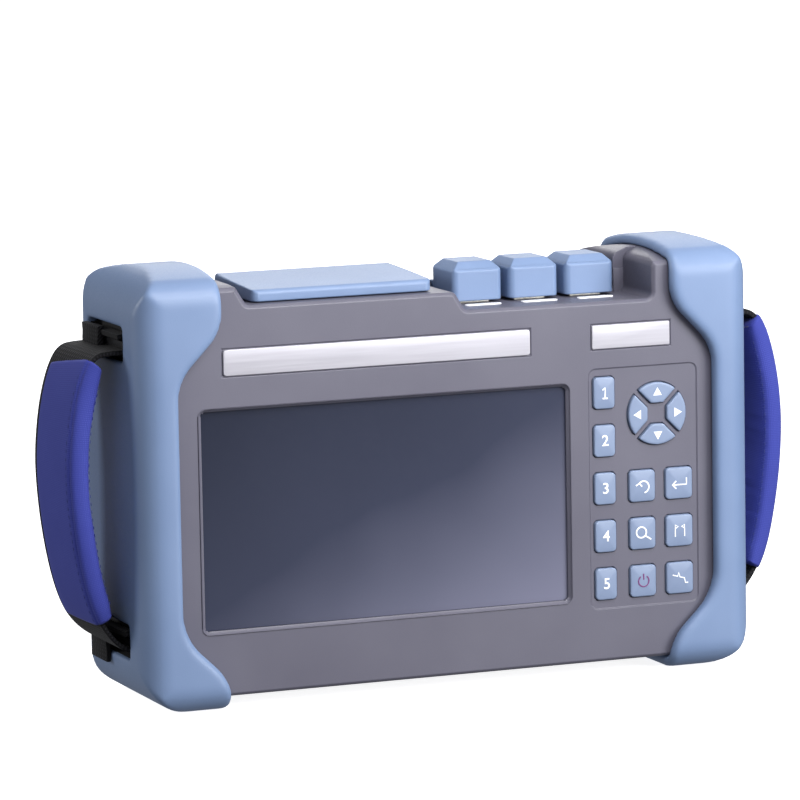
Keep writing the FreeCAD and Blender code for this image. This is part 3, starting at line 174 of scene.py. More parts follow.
def woven(name, dark, light, across, along, sheen, strength=0.9, height=0.25):
    """Cloth whose yarns, so many mm apart, follow the piece's own UV map across and along it."""
    material = start(name, Sheen_Weight=sheen, Sheen_Roughness=0.4, Specular_IOR_Level=0.25)
    place = place_of(material, "UV")
    warp = bands(material, place, across * MM, "X")
    weft = bands(material, place, along * MM, "Y")
    yarns = combined(material, warp, weft)
    fuzz = combined(material, yarns, between(material, speckle(material, place, FUZZ_GRAIN), 0.6, 1.0))
    wear = between(material, speckle(material, place, WEAR_GRAIN), -0.12, 0.22)
    worn = combined(material, fuzz, wear, "ADD")
    colour = shades(material, worn, dark, light)
    return give(material, colour, between(material, fuzz, 0.78, 0.92), fuzz, strength, height)


def circuit_board():
    """Green solder resist with copper tracks showing under it."""
    material = start("circuit_board", Coat_Weight=0.4)
    place = place_of(material)
    tracks = add(material, "ShaderNodeTexBrick", Scale=160.0)
    join(material, place_of(material, stretch=(1, 1, 2)), tracks.inputs["Vector"])
    tracks.inputs["Color1"].default_value = linear(24, 92, 58)
    tracks.inputs["Color2"].default_value = linear(30, 104, 66)
    tracks.inputs["Mortar"].default_value = linear(44, 128, 84)
    gloss = between(material, speckle(material, place, 900), 0.3, 0.45)
    return give(material, tracks.outputs["Color"], gloss, tracks.outputs["Fac"], 0.3)


def display_glass():
    """The dark display behind its glass, with a painted reflection that makes it paler towards the lower
    right.
    """
    material = start("display_glass", Coat_Weight=0.3, Coat_Roughness=0.08, Specular_IOR_Level=0.3)
    low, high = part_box("screen_window")
    place = place_of(material)
    parts = add(material, "ShaderNodeSeparateXYZ")
    join(material, place, parts.inputs[0])
    right = between(material, parts.outputs["X"], 0.0, REFLECTION_RIGHT, low.x, high.x)
    down = between(material, parts.outputs["Z"], REFLECTION_DOWN, 0.0, low.z, high.z)
    mottle = between(material, speckle(material, place, 7), *DISPLAY_MOTTLE)
    slope = combined(material, combined(material, right, down, "ADD"), mottle, "ADD")
    # painted reflection: the display's colour runs from dark to pale grey towards the lower right, in mottled
    # patches
    painted_reflection = shades(material, slope, linear(32, 36, 50), linear(52, 56, 74), linear(112, 113, 133))
    dust = speckle(material, place, 600, 5.0)
    return give(material, painted_reflection, between(material, dust, 0.14, 0.24), dust, 0.02)


FINISHES = {
    "blue_rubber": moulded(
        "blue_rubber", (0.145, 0.212, 0.36, 1), (0.17, 0.243, 0.402, 1), rough=(0.4, 0.52)
    ),
    "blue_keys": moulded(
        "blue_keys", (0.182, 0.235, 0.358, 1), (0.208, 0.266, 0.396, 1), 60, rough=(0.36, 0.48), strength=0.1
    ),
    "grey_plastic": moulded(
        "grey_plastic", (0.098, 0.095, 0.13, 1), (0.117, 0.114, 0.151, 1), rough=(0.36, 0.5)
    ),
    "dark_plastic": moulded("dark_plastic", linear(44, 45, 54), linear(56, 57, 66), rough=(0.45, 0.6)),
    "black_plastic": moulded("black_plastic", linear(24, 24, 27), linear(34, 34, 38), rough=(0.4, 0.55)),
    "black_rubber": moulded("black_rubber", linear(22, 22, 25), linear(33, 33, 36), rough=(0.6, 0.8)),
    "black_foam": moulded(
        "black_foam", linear(16, 16, 19), linear(30, 30, 34), grain=900, rough=(0.8, 0.95), strength=0.8
    ),
    "white_label": moulded(
        "white_label", linear(232, 234, 238), linear(246, 247, 250), 90, rough=(0.5, 0.62), strength=0.06
    ),
    "silver_plate": brushed(
        "silver_plate", (0.45, 0.44, 0.49, 1), (0.5, 0.49, 0.54, 1), metallic=0.2, strength=0.05
    ),
    "steel": brushed("steel", linear(128, 130, 136), linear(176, 178, 184)),
    "black_metal": brushed("black_metal", linear(26, 26, 30), linear(44, 44, 50), metallic=0.7),
    "nickel": brushed("nickel", linear(176, 174, 168), linear(214, 212, 206), (900, 900, 60)),
    "plated_shell": brushed("plated_shell", linear(168, 170, 174), linear(206, 208, 212), (900, 900, 40)),
    "cast_aluminium": moulded(
        "cast_aluminium", linear(138, 140, 144), linear(168, 170, 174), 60, 700, (0.4, 0.6),
        strength=0.5, Metallic=0.8,
    ),
    "green_board": circuit_board(),
    "screen_glass": display_glass(),
    "black_webbing": woven("black_webbing", linear(12, 12, 15), linear(38, 37, 42), 2.0, 1.5, 0.05),
    "blue_fabric": woven(
        "blue_fabric", (0.034, 0.045, 0.27, 1), (0.058, 0.074, 0.36, 1), 0.7, 0.7, 0.06, 0.25, 0.06
    ),
}
blackened_steel = brushed("blackened_steel", linear(20, 20, 23), linear(36, 36, 40), metallic=0.6)
legend_white = moulded("legend_white", linear(238, 242, 250), linear(250, 251, 255), 200, strength=0.05)
legend_red = moulded("legend_red", linear(104, 48, 104), linear(120, 58, 116), 200, strength=0.05)
# painted shade: the black of the strap slots' insides and of the screws' cross recesses
painted_shade_black = moulded("painted_shade_black", linear(12, 12, 15), linear(22, 22, 26), 60, rough=(0.7, 0.9))
stitch_thread = moulded(
    "stitch_thread", linear(40, 50, 116), linear(54, 66, 134), 400, 4000, (0.7, 0.85), 0.3
)
contact_gold = brushed("contact_gold", linear(196, 158, 74), linear(226, 190, 104), (900, 900, 60))
socket_blue = moulded("socket_blue", linear(34, 78, 168), linear(46, 92, 186), 80)
socket_ivory = moulded("socket_ivory", linear(214, 212, 202), linear(232, 230, 222), 80)

slot_of = {name: node.data.materials[0].name for name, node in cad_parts.items()}
for name, slot_name in slot_of.items():
    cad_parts[name].data.materials[0] = FINISHES[slot_name]
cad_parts["strap_anchor_bars"].data.materials[0] = blackened_steel


# ---------------------------------------------------------------- making pieces

FLAT = 0.4             # triangles that turn less than this, in degrees, are one face
CREASE = 28            # an edge that turns more than this, in degrees, is a crease
PARALLEL = 0.99        # an edge lies along an axis if this much of it does
FACING = 0.9           # a face looks along an axis if this much of its normal does
MELT = 0.5             # how far each round of melting moves a point to its neighbours' middle
CORNER_SEGMENTS = 6
SOFTENED_SHARP, REMOULDED_SHARP = 50, 180   # edges that turn more than this, in degrees, stay sharp


def to_mm(corners):
    """The two corners of a box, in mm."""
    return [corner / MM for corner in corners]


def piece(name, form, finish, body="instrument", sharp=38, turn_out=True):
    """Makes a bmesh an object that rides on a body; edges over sharp degrees stay sharp."""
    if turn_out:
        bmesh.ops.recalc_face_normals(form, faces=form.faces)
    mesh = bpy.data.meshes.new(name)
    form.to_mesh(mesh)
    form.free()
    mesh.materials.append(finish)
    mesh.shade_smooth()
    mesh.set_sharp_from_angle(angle=math.radians(sharp))
    thing = bpy.data.objects.new(name, mesh)
    bpy.context.scene.collection.objects.link(thing)
    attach(thing, body)
    return thing


def block(low, high):
    """A box between two corners given in mm."""
    form = bmesh.new()
    bmesh.ops.create_cube(form, size=MM)
    low, high = Vector(low), Vector(high)
    bmesh.ops.scale(form, vec=high - low, verts=form.verts)
    bmesh.ops.translate(form, vec=(low + high) / 2 * MM, verts=form.verts)
    return form


def pin(radius, length, sides, rounding):
    """A round bar along Z, in mm, about its middle, with its upper rim rounded."""
    form = bmesh.new()
    bmesh.ops.create_cone(form, cap_ends=True, segments=sides, radius1=radius, radius2=radius, depth=length)
    bmesh.ops.scale(form, vec=(MM, MM, MM), verts=form.verts)
    rim = [edge for edge in form.edges if edge.verts[0].co.z > 0 < edge.verts[1].co.z]
    return bevelled(form, rim, rounding)


def runs_along(edge, axis):
    """True for an edge parallel to one axis."""
    way = edge.verts[1].co - edge.verts[0].co
    return abs(way[axis]) > PARALLEL * way.length


def bevelled(form, edges, width, segments=3, clamp=True):
    bmesh.ops.bevel(
        form, geom=edges, offset=width * MM, offset_type="OFFSET", affect="EDGES", segments=segments,
        profile=0.5, material=-1, clamp_overlap=clamp,
    )
    return form


def plaque(low, high, corner, rim, face_axis=1, facing=-1):
    """A plate with rounded corners and a rounded front rim, in mm."""
    form = block(low, high)
    bevelled(form, [edge for edge in form.edges if runs_along(edge, face_axis)], corner, CORNER_SEGMENTS)
    front = [face for face in form.faces if face.normal[face_axis] * facing > FACING]
    return bevelled(form, [edge for face in front for edge in face.edges], rim)


def mirrored(form, side):
    """A form made for the right side, moved to its own side."""
    if SIDES[side] < 0:
        bmesh.ops.scale(form, vec=(-1, 1, 1), verts=form.verts)
    return form


def drawn_mesh(data, cell=None):
    """The mesh that a curve, a text or a mesh draws, remeshed in cubes of cell mm if one is given."""
    drawn = shown = bpy.data.objects.new("drawn", data)
    if cell:
        bpy.context.scene.collection.objects.link(drawn)
        cells = drawn.modifiers.new("cells", "REMESH")
        cells.mode = "VOXEL"
        cells.voxel_size = cell * MM
        bpy.context.view_layer.update()
        shown = drawn.evaluated_get(bpy.context.evaluated_depsgraph_get())
    mesh = bpy.data.meshes.new_from_object(shown)
    bpy.data.objects.remove(drawn)
    return mesh


def copied(node):
    """A bmesh of a CAD node, with its triangles joined and its flat faces whole."""
    form = bmesh.new()
    form.from_mesh(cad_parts[node].data)
    bmesh.ops.remove_doubles(form, verts=form.verts, dist=WELD)
    bmesh.ops.dissolve_limit(form, angle_limit=math.radians(FLAT), verts=form.verts, edges=form.edges)
    return form


def stands_for(node, form, body, sharp):
    """Makes a form the visible copy of a CAD node, in the node's own finish."""
    slot = slot_of[node]
    made = piece(node + "_soft", form, FINISHES[slot], body, sharp, turn_out=False)
    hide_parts(node)
    return made


def softened(node, width, body="instrument"):
    """Stands for a CAD node with its creases rounded by width mm."""
    form = copied(node)
    creases = [
        edge for edge in form.edges
        if edge.is_manifold and edge.calc_face_angle(0) > math.radians(CREASE)
    ]
    bevelled(form, creases, width, segments=2, clamp=False)
    made = stands_for(node, form, body, SOFTENED_SHARP)
    weighted = made.modifiers.new("weighted", "WEIGHTED_NORMAL")
    weighted.keep_sharp = True


def remoulded(node, cell, rounds, body="instrument"):
    """Stands for a moulded CAD node with every edge melted soft, as a rubber moulding's are."""
    rough = bpy.data.meshes.new("rough")
    form = copied(node)
    form.to_mesh(rough)
    form.free()
    form = bmesh.new()
    form.from_mesh(drawn_mesh(rough, cell))
    for _ in range(rounds):
        bmesh.ops.smooth_vert(
            form, verts=form.verts, factor=MELT, use_axis_x=True, use_axis_y=True, use_axis_z=True
        )
    stands_for(node, form, body, REMOULDED_SHARP)


# ---------------------------------------------------------------- camera and studio

CAMERA_PLACE = (-0.762306, -1.900356, 0.393212)
CAMERA_YAW, CAMERA_TILT, CAMERA_ROLL = 21.665, 7.910, -1.0286
CAMERA_LENS, CAMERA_SENSOR = 239.636, 36
CAMERA_REACH = 20

LAMP_AIM = (0, 0, 0.08)
LAMPS = {              # place, size and power
    "key_lamp": ((0.72, -0.95, 0.42), 0.6, 14),
    "top_lamp": ((0.25, -0.1, 0.95), 0.7, 1.2),
    "strip_lamp": ((0.05, -0.4, 0.48), 0.3, 3.0),
    "front_lamp": ((-1.1, -1.2, 0.6), 0.9, 2.6),
    "side_lamp": ((-1.0, 0.5, 0.4), 0.3, 3.8),
    "back_lamp": ((0.5, 1.5, 0.9), 1.0, 8),
}
ROOM_COLOUR, ROOM_LIGHT = (0.93, 0.95, 1.0, 1), 0.27
WHITE = (1, 1, 1, 1)
FLOOR_SIZE, FLOOR_GLOW = 6, 0.86


def camera():
    data = bpy.data.cameras.new("camera")
    data.lens = CAMERA_LENS
    data.sensor_width = CAMERA_SENSOR
    data.clip_end = CAMERA_REACH
    made = bpy.data.objects.new("camera", data)
    turn = Matrix.Rotation(math.radians(-CAMERA_YAW), 4, "Z")
    turn = turn @ Matrix.Rotation(math.radians(90 - CAMERA_TILT), 4, "X")
    turn = turn @ Matrix.Rotation(math.radians(CAMERA_ROLL), 4, "Z")
    made.matrix_world = Matrix.Translation(CAMERA_PLACE) @ turn
    bpy.context.scene.collection.objects.link(made)
    bpy.context.scene.camera = made


def lamp(name, place, size, power):
    """A soft square lamp turned to the middle of the instrument."""
    data = bpy.data.lights.new(name, "AREA")
    data.size = size
    data.energy = power
    made = bpy.data.objects.new(name, data)
    aim = Vector(LAMP_AIM) - Vector(place)
    made.matrix_world = Matrix.Translation(place) @ aim.to_track_quat("-Z", "Y").to_matrix().to_4x4()
    made.visible_camera = False
    bpy.context.scene.collection.objects.link(made)


def room():
    """A pale room round the instrument, with a plain white backdrop."""
    world = bpy.data.worlds.new("studio")
    bpy.context.scene.world = world
    world.use_nodes = True
    nodes, links = world.node_tree.nodes, world.node_tree.links
    walls = nodes["Background"]
    walls.inputs["Color"].default_value = ROOM_COLOUR
    walls.inputs["Strength"].default_value = ROOM_LIGHT
    backdrop = nodes.new("ShaderNodeBackground")
    backdrop.inputs["Color"].default_value = WHITE
    path = nodes.new("ShaderNodeLightPath")
    mix = nodes.new("ShaderNodeMixShader")
    links.new(path.outputs["Is Camera Ray"], mix.inputs[0])
    links.new(walls.outputs[0], mix.inputs[1])
    links.new(backdrop.outputs[0], mix.inputs[2])
    links.new(mix.outputs[0], nodes["World Output"].inputs["Surface"])


def floor():
    """A pale floor that throws no light back on the instrument."""
    form = bmesh.new()
    bmesh.ops.create_grid(form, x_segments=2, y_segments=2, size=FLOOR_SIZE)
    mesh = bpy.data.meshes.new("floor")
    form.to_mesh(mesh)
    form.free()
    pale = moulded("floor", (0.9, 0.9, 0.91, 1), (0.93, 0.93, 0.94, 1), 2, 60, (0.7, 0.8), 0.02)
    shader_of(pale).inputs["Emission Color"].default_value = WHITE
    shader_of(pale).inputs["Emission Strength"].default_value = FLOOR_GLOW
    mesh.materials.append(pale)
    ground = bpy.data.objects.new("floor", mesh)
    ground.visible_diffuse = ground.visible_glossy = False
    bpy.context.scene.collection.objects.link(ground)


camera()
room()
for lamp_name, (place, size, power) in LAMPS.items():
    lamp(lamp_name, place, size, power)
floor()
bpy.context.scene.view_settings.view_transform = "Standard"


# ---------------------------------------------------------------- housing

BUMPER_CELL, BUMPER_ROUNDS = 1.0, 3
SOFT_EDGES = {         # body, and how far its creases are rounded
    "front_case": ("instrument", 0.35),
    "rear_case": ("instrument", 0.35),
    "port_cover": ("cover", 0.6),
    "port_cap_1": ("cap_1", 0.5),
    "port_cap_2": ("cap_2", 0.5),
    "port_cap_3": ("cap_3", 0.5),
    "kickstand": ("stand", 0.5),
    "battery_door": ("instrument", 0.4),
}

for side in SIDES:
    remoulded("bumper_" + side, BUMPER_CELL, BUMPER_ROUNDS)
for node, (body, width) in SOFT_EDGES.items():
    softened(node, width, body)


# ---------------------------------------------------------------- keys and their legends

FLAT_KEYS = ("1", "2", "3", "4", "5", "escape", "zoom", "power", "enter", "marker", "trace")
ROUND_KEYS = ("up", "left", "down", "right")
ROUND_KEY_CELL, ROUND_KEY_ROUNDS = 0.3, 9
KEY_FACE_Y, KEY_BACK_Y = -31.9, -27.7
KEY_FLANGE = 0.8       # the key's foot, hidden under the case, beyond its cap
KEY_CORNER, KEY_RIM = 1.7, 0.55
KEY_DOME = 0.2         # rise of the dome
KEY_EDGE = 0.25        # the face's edge behind the key's front
KEY_SHARP, LEGEND_SHARP = 60, 30
LEGEND_PROUD = 0.02
NUMERAL_SIZE, NUMERAL_WEIGHT, NUMERAL_THICKNESS = 6.02, 0.07, 0.05
STROKE_FLATNESS = 0.16
ARROW_RADIUS, ARROW_THICKNESS = 2.1, 0.1


def key_cap(name):
    """A rounded key with a faintly domed face."""
    low, high = to_mm(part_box("key_" + name))
    form = plaque(
        (low.x + KEY_FLANGE, KEY_FACE_Y + KEY_EDGE, low.z + KEY_FLANGE),
        (high.x - KEY_FLANGE, KEY_BACK_Y, high.z - KEY_FLANGE),
        KEY_CORNER, KEY_RIM,
    )
    face = max(form.faces, key=lambda one: -one.normal.y * one.calc_area())
    bmesh.ops.poke(form, faces=[face], offset=KEY_DOME * MM)
    made = piece(
        f"key_{name}_cap", form, FINISHES["blue_keys"], f"key_{name}_button", KEY_SHARP
    )
    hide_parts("key_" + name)


def place_legend(name, flat, finish):
    """Puts a flat drawing made in X and Y, in mm, on a key's face."""
    low, high = to_mm(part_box("key_" + name))
    middle = (low + high) / 2
    form = bmesh.new()
    form.from_mesh(flat)
    bmesh.ops.transform(form, matrix=Matrix.Rotation(math.pi / 2, 4, "X"), verts=form.verts)
    bmesh.ops.translate(form, vec=(middle.x, KEY_FACE_Y - LEGEND_PROUD, middle.z), verts=form.verts)
    bmesh.ops.scale(form, vec=(MM, MM, MM), verts=form.verts)
    piece(f"legend_{name}", form, finish, f"key_{name}_button", sharp=LEGEND_SHARP, turn_out=False)


def numeral(digit):
    letters = bpy.data.curves.new("numeral_" + digit, "FONT")
    letters.body = digit
    letters.size = NUMERAL_SIZE
    letters.align_x, letters.align_y = "CENTER", "CENTER"
    letters.extrude = NUMERAL_THICKNESS
    letters.offset = NUMERAL_WEIGHT
    place_legend(digit, drawn_mesh(letters), legend_white)


def drawing(name, width, *lines, finish=legend_white):
    """A legend of round-ended strokes through points in mm from the key's middle."""
    strokes = bpy.data.curves.new("strokes_" + name, "CURVE")
    strokes.dimensions = "3D"
    strokes.bevel_depth = width / 2
    strokes.bevel_resolution = 2
    strokes.use_fill_caps = True
    for line in lines:
        spline = strokes.splines.new("POLY")
        spline.points.add(len(line) - 1)
        for point, (across, up) in zip(spline.points, line):
            point.co = (across, up, 0, 1)
    mesh = drawn_mesh(strokes)
    mesh.transform(Matrix.Diagonal((1, 1, STROKE_FLATNESS, 1)))
    place_legend(name, mesh, finish)


def arc(middle, radius, first, last, steps):
    """Points round an arc, with angles in degrees from the right."""
    turns = [math.radians(first + (last - first) * step / steps) for step in range(steps + 1)]
    return [(middle[0] + radius * math.cos(turn), middle[1] + radius * math.sin(turn)) for turn in turns]


def arrow_legend(name, turn):
    form = bmesh.new()
    bmesh.ops.create_circle(form, cap_ends=True, segments=3, radius=ARROW_RADIUS)
    solid = bmesh.ops.extrude_face_region(form, geom=form.faces[:])
    raised = [part for part in solid["geom"] if isinstance(part, bmesh.types.BMVert)]
    bmesh.ops.translate(form, vec=(0, 0, ARROW_THICKNESS), verts=raised)
    bmesh.ops.rotate(form, matrix=Matrix.Rotation(math.radians(turn), 3, "Z"), verts=form.verts)
    bmesh.ops.recalc_face_normals(form, faces=form.faces)
    mesh = bpy.data.meshes.new("arrow")
    form.to_mesh(mesh)
    form.free()
    place_legend(name, mesh, legend_white)


for key in FLAT_KEYS:
    key_cap(key)
for key in ROUND_KEYS:
    remoulded("key_" + key, ROUND_KEY_CELL, ROUND_KEY_ROUNDS, f"key_{key}_button")
for digit in "2345":
    numeral(digit)
drawing("1", 0.6, [(-0.9, 1.2), (0.2, 2.05), (0.2, -2.05)], [(-0.9, -2.05), (1.3, -2.05)])
for quarter, key in enumerate(ROUND_KEYS):
    arrow_legend(key, 90 * quarter)
drawing("zoom", 0.6, arc((-0.8, 0.5), 2.1, 0, 360, 24), [(0.8, -0.9), (3.4, -2.5)])
drawing("power", 0.5, arc((0, 0), 2.2, 125, 415, 20), [(0, 0.5), (0, 2.9)], finish=legend_red)
drawing("escape", 0.6, arc((0.3, -0.4), 2.3, -80, 140, 16), [(-2.9, 0.2), (-1.45, 1.1), (-0.3, -0.2)])
drawing("enter", 0.6, [(3, 2), (3, -0.6), (-3, -0.6)], [(-1.4, 0.9), (-3, -0.6), (-1.4, -2.1)])
drawing(
    "marker", 0.5,
    [(-2, -2.3), (-2, 2.3), (-0.7, 1.6), (-2, 0.9)],
    [(2, -2.3), (2, 2.3), (0.7, 1.6), (2, 0.9)],
)
drawing(
    "trace", 0.5,
    [(-3.3, 1.3), (-1.2, 0.7), (-0.7, 2.2), (-0.2, 0.4), (1.7, -0.1), (2.1, -2.0), (3.3, -2.0)],
)


# ---------------------------------------------------------------- plates and labels

PLATE_CORNERS = {"title_plate": 1.2, "badge_plate": 0.5}
PLATE_RIM = 0.3
LABEL_HALF_WIDTH, LABEL_CORNER, LABEL_RIM = 7.5, 1.65, 0.12


def plate(node, corner):
    """A bare silver plate."""
    low, high = to_mm(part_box(node))
    form = plaque(low, high, corner, PLATE_RIM)
    made = piece(node + "_face", form, FINISHES["silver_plate"])
    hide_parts(node)


def label_strip(number):
    """A bare white strip in front of a cap."""
    low, high = to_mm(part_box("label_strips"))
    cap_low, cap_high = to_mm(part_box(f"port_cap_{number}"))
    middle = (cap_low.x + cap_high.x) / 2
    form = plaque(
        (middle - LABEL_HALF_WIDTH, low.y, low.z), (middle + LABEL_HALF_WIDTH, high.y, high.z),
        LABEL_CORNER, LABEL_RIM, face_axis=2, facing=1,
    )
    return piece(f"label_strip_{number}", form, FINISHES["white_label"])


for node, corner in PLATE_CORNERS.items():
    plate(node, corner)
strips = [label_strip(number) for number in (1, 2, 3)]
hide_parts("label_strips")


# ---------------------------------------------------------------- straps

STRAP_LINE = (         # X and Z of the points that the strap's middle follows, from slot to slot
    (127.6, 142.9), (124.4, 143.5), (121.7, 142.6), (121.5, 138.2), (124.6, 136.9), (131, 137.1),
    (137.5, 136.2), (142, 128.5), (145.6, 115), (147.6, 98), (147.5, 84), (145.8, 66), (142.5, 48),
    (138.3, 35.5), (132.5, 27.5), (126, 22.9), (121.6, 23.4), (121.6, 28.4), (124.4, 29.8), (127.6, 29.4),
)
STRAP_MIDDLE_Y = 3.0
STRAP_HALF_WIDTH = 19
STRAP_LEAN = 0.8       # how much farther out the rear edge bows than the middle
LEAN_RUN = 12          # the lean grows over this much distance from the bumper's side
SIDE_FACE_X = 126.5    # the bumper's side
OUTER_RUN_X = 127.5    # the strap's outer run lies beyond this
TURN_LENGTH = 14       # the turn round a bar at each end of the strap
STRAP_STEP, PAD_STEP = 1.0, 1.6
WEBBING_PROFILE = ((-18.8, -0.9), (-19, 0), (-18.8, 0.9), (18.8, 0.9), (19, 0), (18.8, -0.9))

PAD_SPAN = (131.0, 34.0)
PAD_PROFILE = (        # across the strap and out of it, round the outside and then the webbing's channel
    (14.6, 1.15), (14.9, 1.7), (13.8, 2.1), (4, 2.35), (-10, 2.3), (-17.8, 2.15), (-18.9, 1.9),
    (-19.3, 1.0), (-20.1, 1.35), (-21.2, 0.3), (-21.9, -2.6), (-21.5, -5.0), (-19.6, -6.7),
    (-12, -7.6), (-2, -7.9), (8, -7.6), (12.8, -6.7), (14.8, -5.0), (15.1, -2.6), (14.6, -1.15),
    (-18.6, -1.15), (-18.6, 1.15),
)
PAD_END_SLOPE = 5.0    # how far the upper end's front corner lies beyond its rear one
PAD_REAR, PAD_WIDTH = 14, 36
PAD_SLOPE_RUN = 30
PAD_SEWN_FULLNESS = 0.72
PAD_SEWN_RUN = 9       # the foam fills out over this much distance from a sewn end
PAD_NARROWING = 0.035
FOAM_FROM, FOAM_DEPTH = 1.2, 5
WAVE_HEIGHT, CREASE_HEIGHT, EDGE_WAVE = 0.5, 0.22, 0.25
WAVE_PITCH = Vector((0.07, 0.1, 0.055))
CREASE_PITCH = Vector((0.03, 0, 0.32))
CREASE_SEED = Vector((0, 7.0, 0))
PAD_SHARP, PAD_FILL = 75, 0.85

STITCH_PITCH, STITCH_SIZE = 3.1, (0.2, 0.16, 0.8)
STITCH_ROWS = ((-17.6, 2.12, 3), (-20.7, -6.0, 5))   # across, out, and clear of the pad's ends

WEBBING_ENDS = {
    "upper": ((126.6, 3.2, 136.2), (129.2, 21.4, 145.2)),
    "lower": ((126.6, 4.0, 15.6), (128.6, 22.0, 26.0)),
}
END_FACE_X = 128.0     # the outside of a folded end, which bulges
END_CUTS, END_BULGE, END_PITCH, END_RIM = 5, 0.5, 260, 0.5
END_CORNER = 1         # an edge of a folded end that turns more than this, in radians, is a corner

SLOT_HEIGHTS = (140.0, 26.3)
# a thin black sheet in each strap slot, painting the shade inside it
SHADE_SHEET_X, SHADE_SHEET_Y, SHADE_SHEET_HALF_HEIGHT, SHADE_SHEET_THICKNESS = (121.06, 124.9), (-17.4, 23.4), 6.6, 0.05


def strap_line():
    """Points along the strap's middle, in mm of X and Z, on one smooth curve."""
    curve = bpy.data.curves.new("strap_line", "CURVE")
    curve.dimensions = "3D"
    spline = curve.splines.new("NURBS")
    spline.points.add(len(STRAP_LINE) - 1)
    for point, (x, z) in zip(spline.points, STRAP_LINE):
        point.co = (x, 0, z, 1)
    spline.order_u = 3
    spline.use_endpoint_u = True
    spline.resolution_u = 16
    return [vertex.co.copy() for vertex in drawn_mesh(curve).vertices]


class StrapWay:
    """Turns a straight strap's coordinates, in mm, into its place on the instrument."""

    def __init__(self):
        self.points = strap_line()
        self.reach = [0.0]
        for first, second in zip(self.points, self.points[1:]):
            self.reach.append(self.reach[-1] + (second - first).length)
        self.length = self.reach[-1]

    def along(self, height):
        """How far along the strap its outer run reaches this height."""
        run = [
            (abs(point.z - height), reach) for point, reach in zip(self.points, self.reach)
            if point.x > OUTER_RUN_X and TURN_LENGTH < reach < self.length - TURN_LENGTH
        ]
        return min(run)[1]

    def at(self, distance):
        """The point at a distance along the strap, and the way outwards there."""
        last = len(self.points) - 1
        index = min(max(bisect_right(self.reach, distance) - 1, 0), last - 1)
        first, second = self.points[index], self.points[index + 1]
        share = (distance - self.reach[index]) / (self.reach[index + 1] - self.reach[index])
        share = min(max(share, 0), 1)
        before, after = self.points[max(index - 1, 0)], self.points[min(index + 2, last)]
        way = (second - before).normalized().lerp((after - first).normalized(), share)
        return first.lerp(second, share), Vector((-way.z, 0, way.x)).normalized()

    def bent(self, across, distance, out, side):
        """The place of a point of the straight strap, in metres."""
        point, outwards = self.at(distance)
        place = point + outwards * out
        free = max(0.0, min(1.0, (place.x - SIDE_FACE_X) / LEAN_RUN))
        lean = STRAP_LEAN * free * free * (3 - 2 * free) * across / STRAP_HALF_WIDTH
        return Vector((SIDES[side] * (place.x + lean), across + STRAP_MIDDLE_Y, place.z)) * MM


strap_way = StrapWay()


def swept(profile, first, last, step):
    """A straight bar of a profile of (across, out) points, run along Z from first to last, in mm."""
    form = bmesh.new()
    face = form.faces.new([form.verts.new((across, out, first)) for across, out in profile])
    count = max(1, round((last - first) / step))
    for _ in range(count):
        grown = bmesh.ops.extrude_face_region(form, geom=[face])
        moved = [part for part in grown["geom"] if isinstance(part, bmesh.types.BMVert)]
        bmesh.ops.translate(form, vec=(0, 0, (last - first) / count), verts=moved)
        face = next(part for part in grown["geom"] if isinstance(part, bmesh.types.BMFace))
    return form


def mapped(form, flat):
    """Gives a form a UV map in metres, from a function of each corner's place."""
    layer = form.loops.layers.uv.new("cloth")
    for face in form.faces:
        for loop in face.loops:
            loop[layer].uv = flat(*loop.vert.co)
    return form


def wrapped(across, out, distance):
    """The cloth's own map across and along a straight strap, wrapped round its thickness."""
    return (across + out) * MM, distance * MM


def laid(form, side):
    """Bends a straight strap piece along the strap."""
    for vertex in form.verts:
        across, out, distance = vertex.co
        vertex.co = strap_way.bent(across, distance, out, side)
    return form


def pad_swell(form, first, last):
    """Foam that thins towards the sewn ends, with slight waves and creases under the cloth."""
    for vertex in form.verts:
        across, out, distance = place = vertex.co.copy()
        near_end = min(distance - first, last - distance)
        rise = math.sin(min(near_end / PAD_SEWN_RUN, 1) * math.pi / 2)
        fullness = PAD_SEWN_FULLNESS + (1 - PAD_SEWN_FULLNESS) * rise
        waves = noise.noise(place * WAVE_PITCH)
        creases = noise.noise(place * CREASE_PITCH + CREASE_SEED)
        foam = min(max((-out - FOAM_FROM) / FOAM_DEPTH, 0), 1)
        slope = (PAD_REAR - across) / PAD_WIDTH * max(0, 1 - (distance - first) / PAD_SLOPE_RUN)
        thickness = out * fullness if out < -FOAM_FROM else out
        vertex.co.y = thickness - foam * (WAVE_HEIGHT * waves + CREASE_HEIGHT * creases)
        vertex.co.x = across * (1 - PAD_NARROWING * (1 - fullness)) + EDGE_WAVE * waves
        vertex.co.z -= PAD_END_SLOPE * slope
    return form


def strap_pad(side):
    first, last = sorted(strap_way.along(height) for height in PAD_SPAN)
    form = mapped(swept(PAD_PROFILE, first, last, PAD_STEP), wrapped)
    form = laid(pad_swell(form, first, last), side)
    pad = piece(
        f"strap_pad_{side}_cloth", form, FINISHES["blue_fabric"], sharp=PAD_SHARP
    )
    rounding = pad.modifiers.new("rounding", "SUBSURF")
    rounding.levels = rounding.render_levels = 1
    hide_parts("strap_pad_" + side)
    stitching(side, first, last)


def stitching(side, first, last):
    """Rows of stitches beside the pad's seam and along its inside."""
    form = bmesh.new()
    for across, out, clear in STITCH_ROWS:
        distance = first + clear
        while distance < last - clear:
            made = bmesh.ops.create_uvsphere(form, u_segments=6, v_segments=4, radius=1)
            bmesh.ops.scale(form, vec=STITCH_SIZE, verts=made["verts"])
            bmesh.ops.translate(form, vec=(across, out, distance), verts=made["verts"])
            distance += STITCH_PITCH
    piece("stitching_" + side, laid(form, side), stitch_thread)


def webbing(side):
    form = laid(mapped(swept(WEBBING_PROFILE, 0, strap_way.length, STRAP_STEP), wrapped), side)
    made = piece(f"strap_webbing_{side}_cloth", form, FINISHES["black_webbing"])
    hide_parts("strap_webbing_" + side)


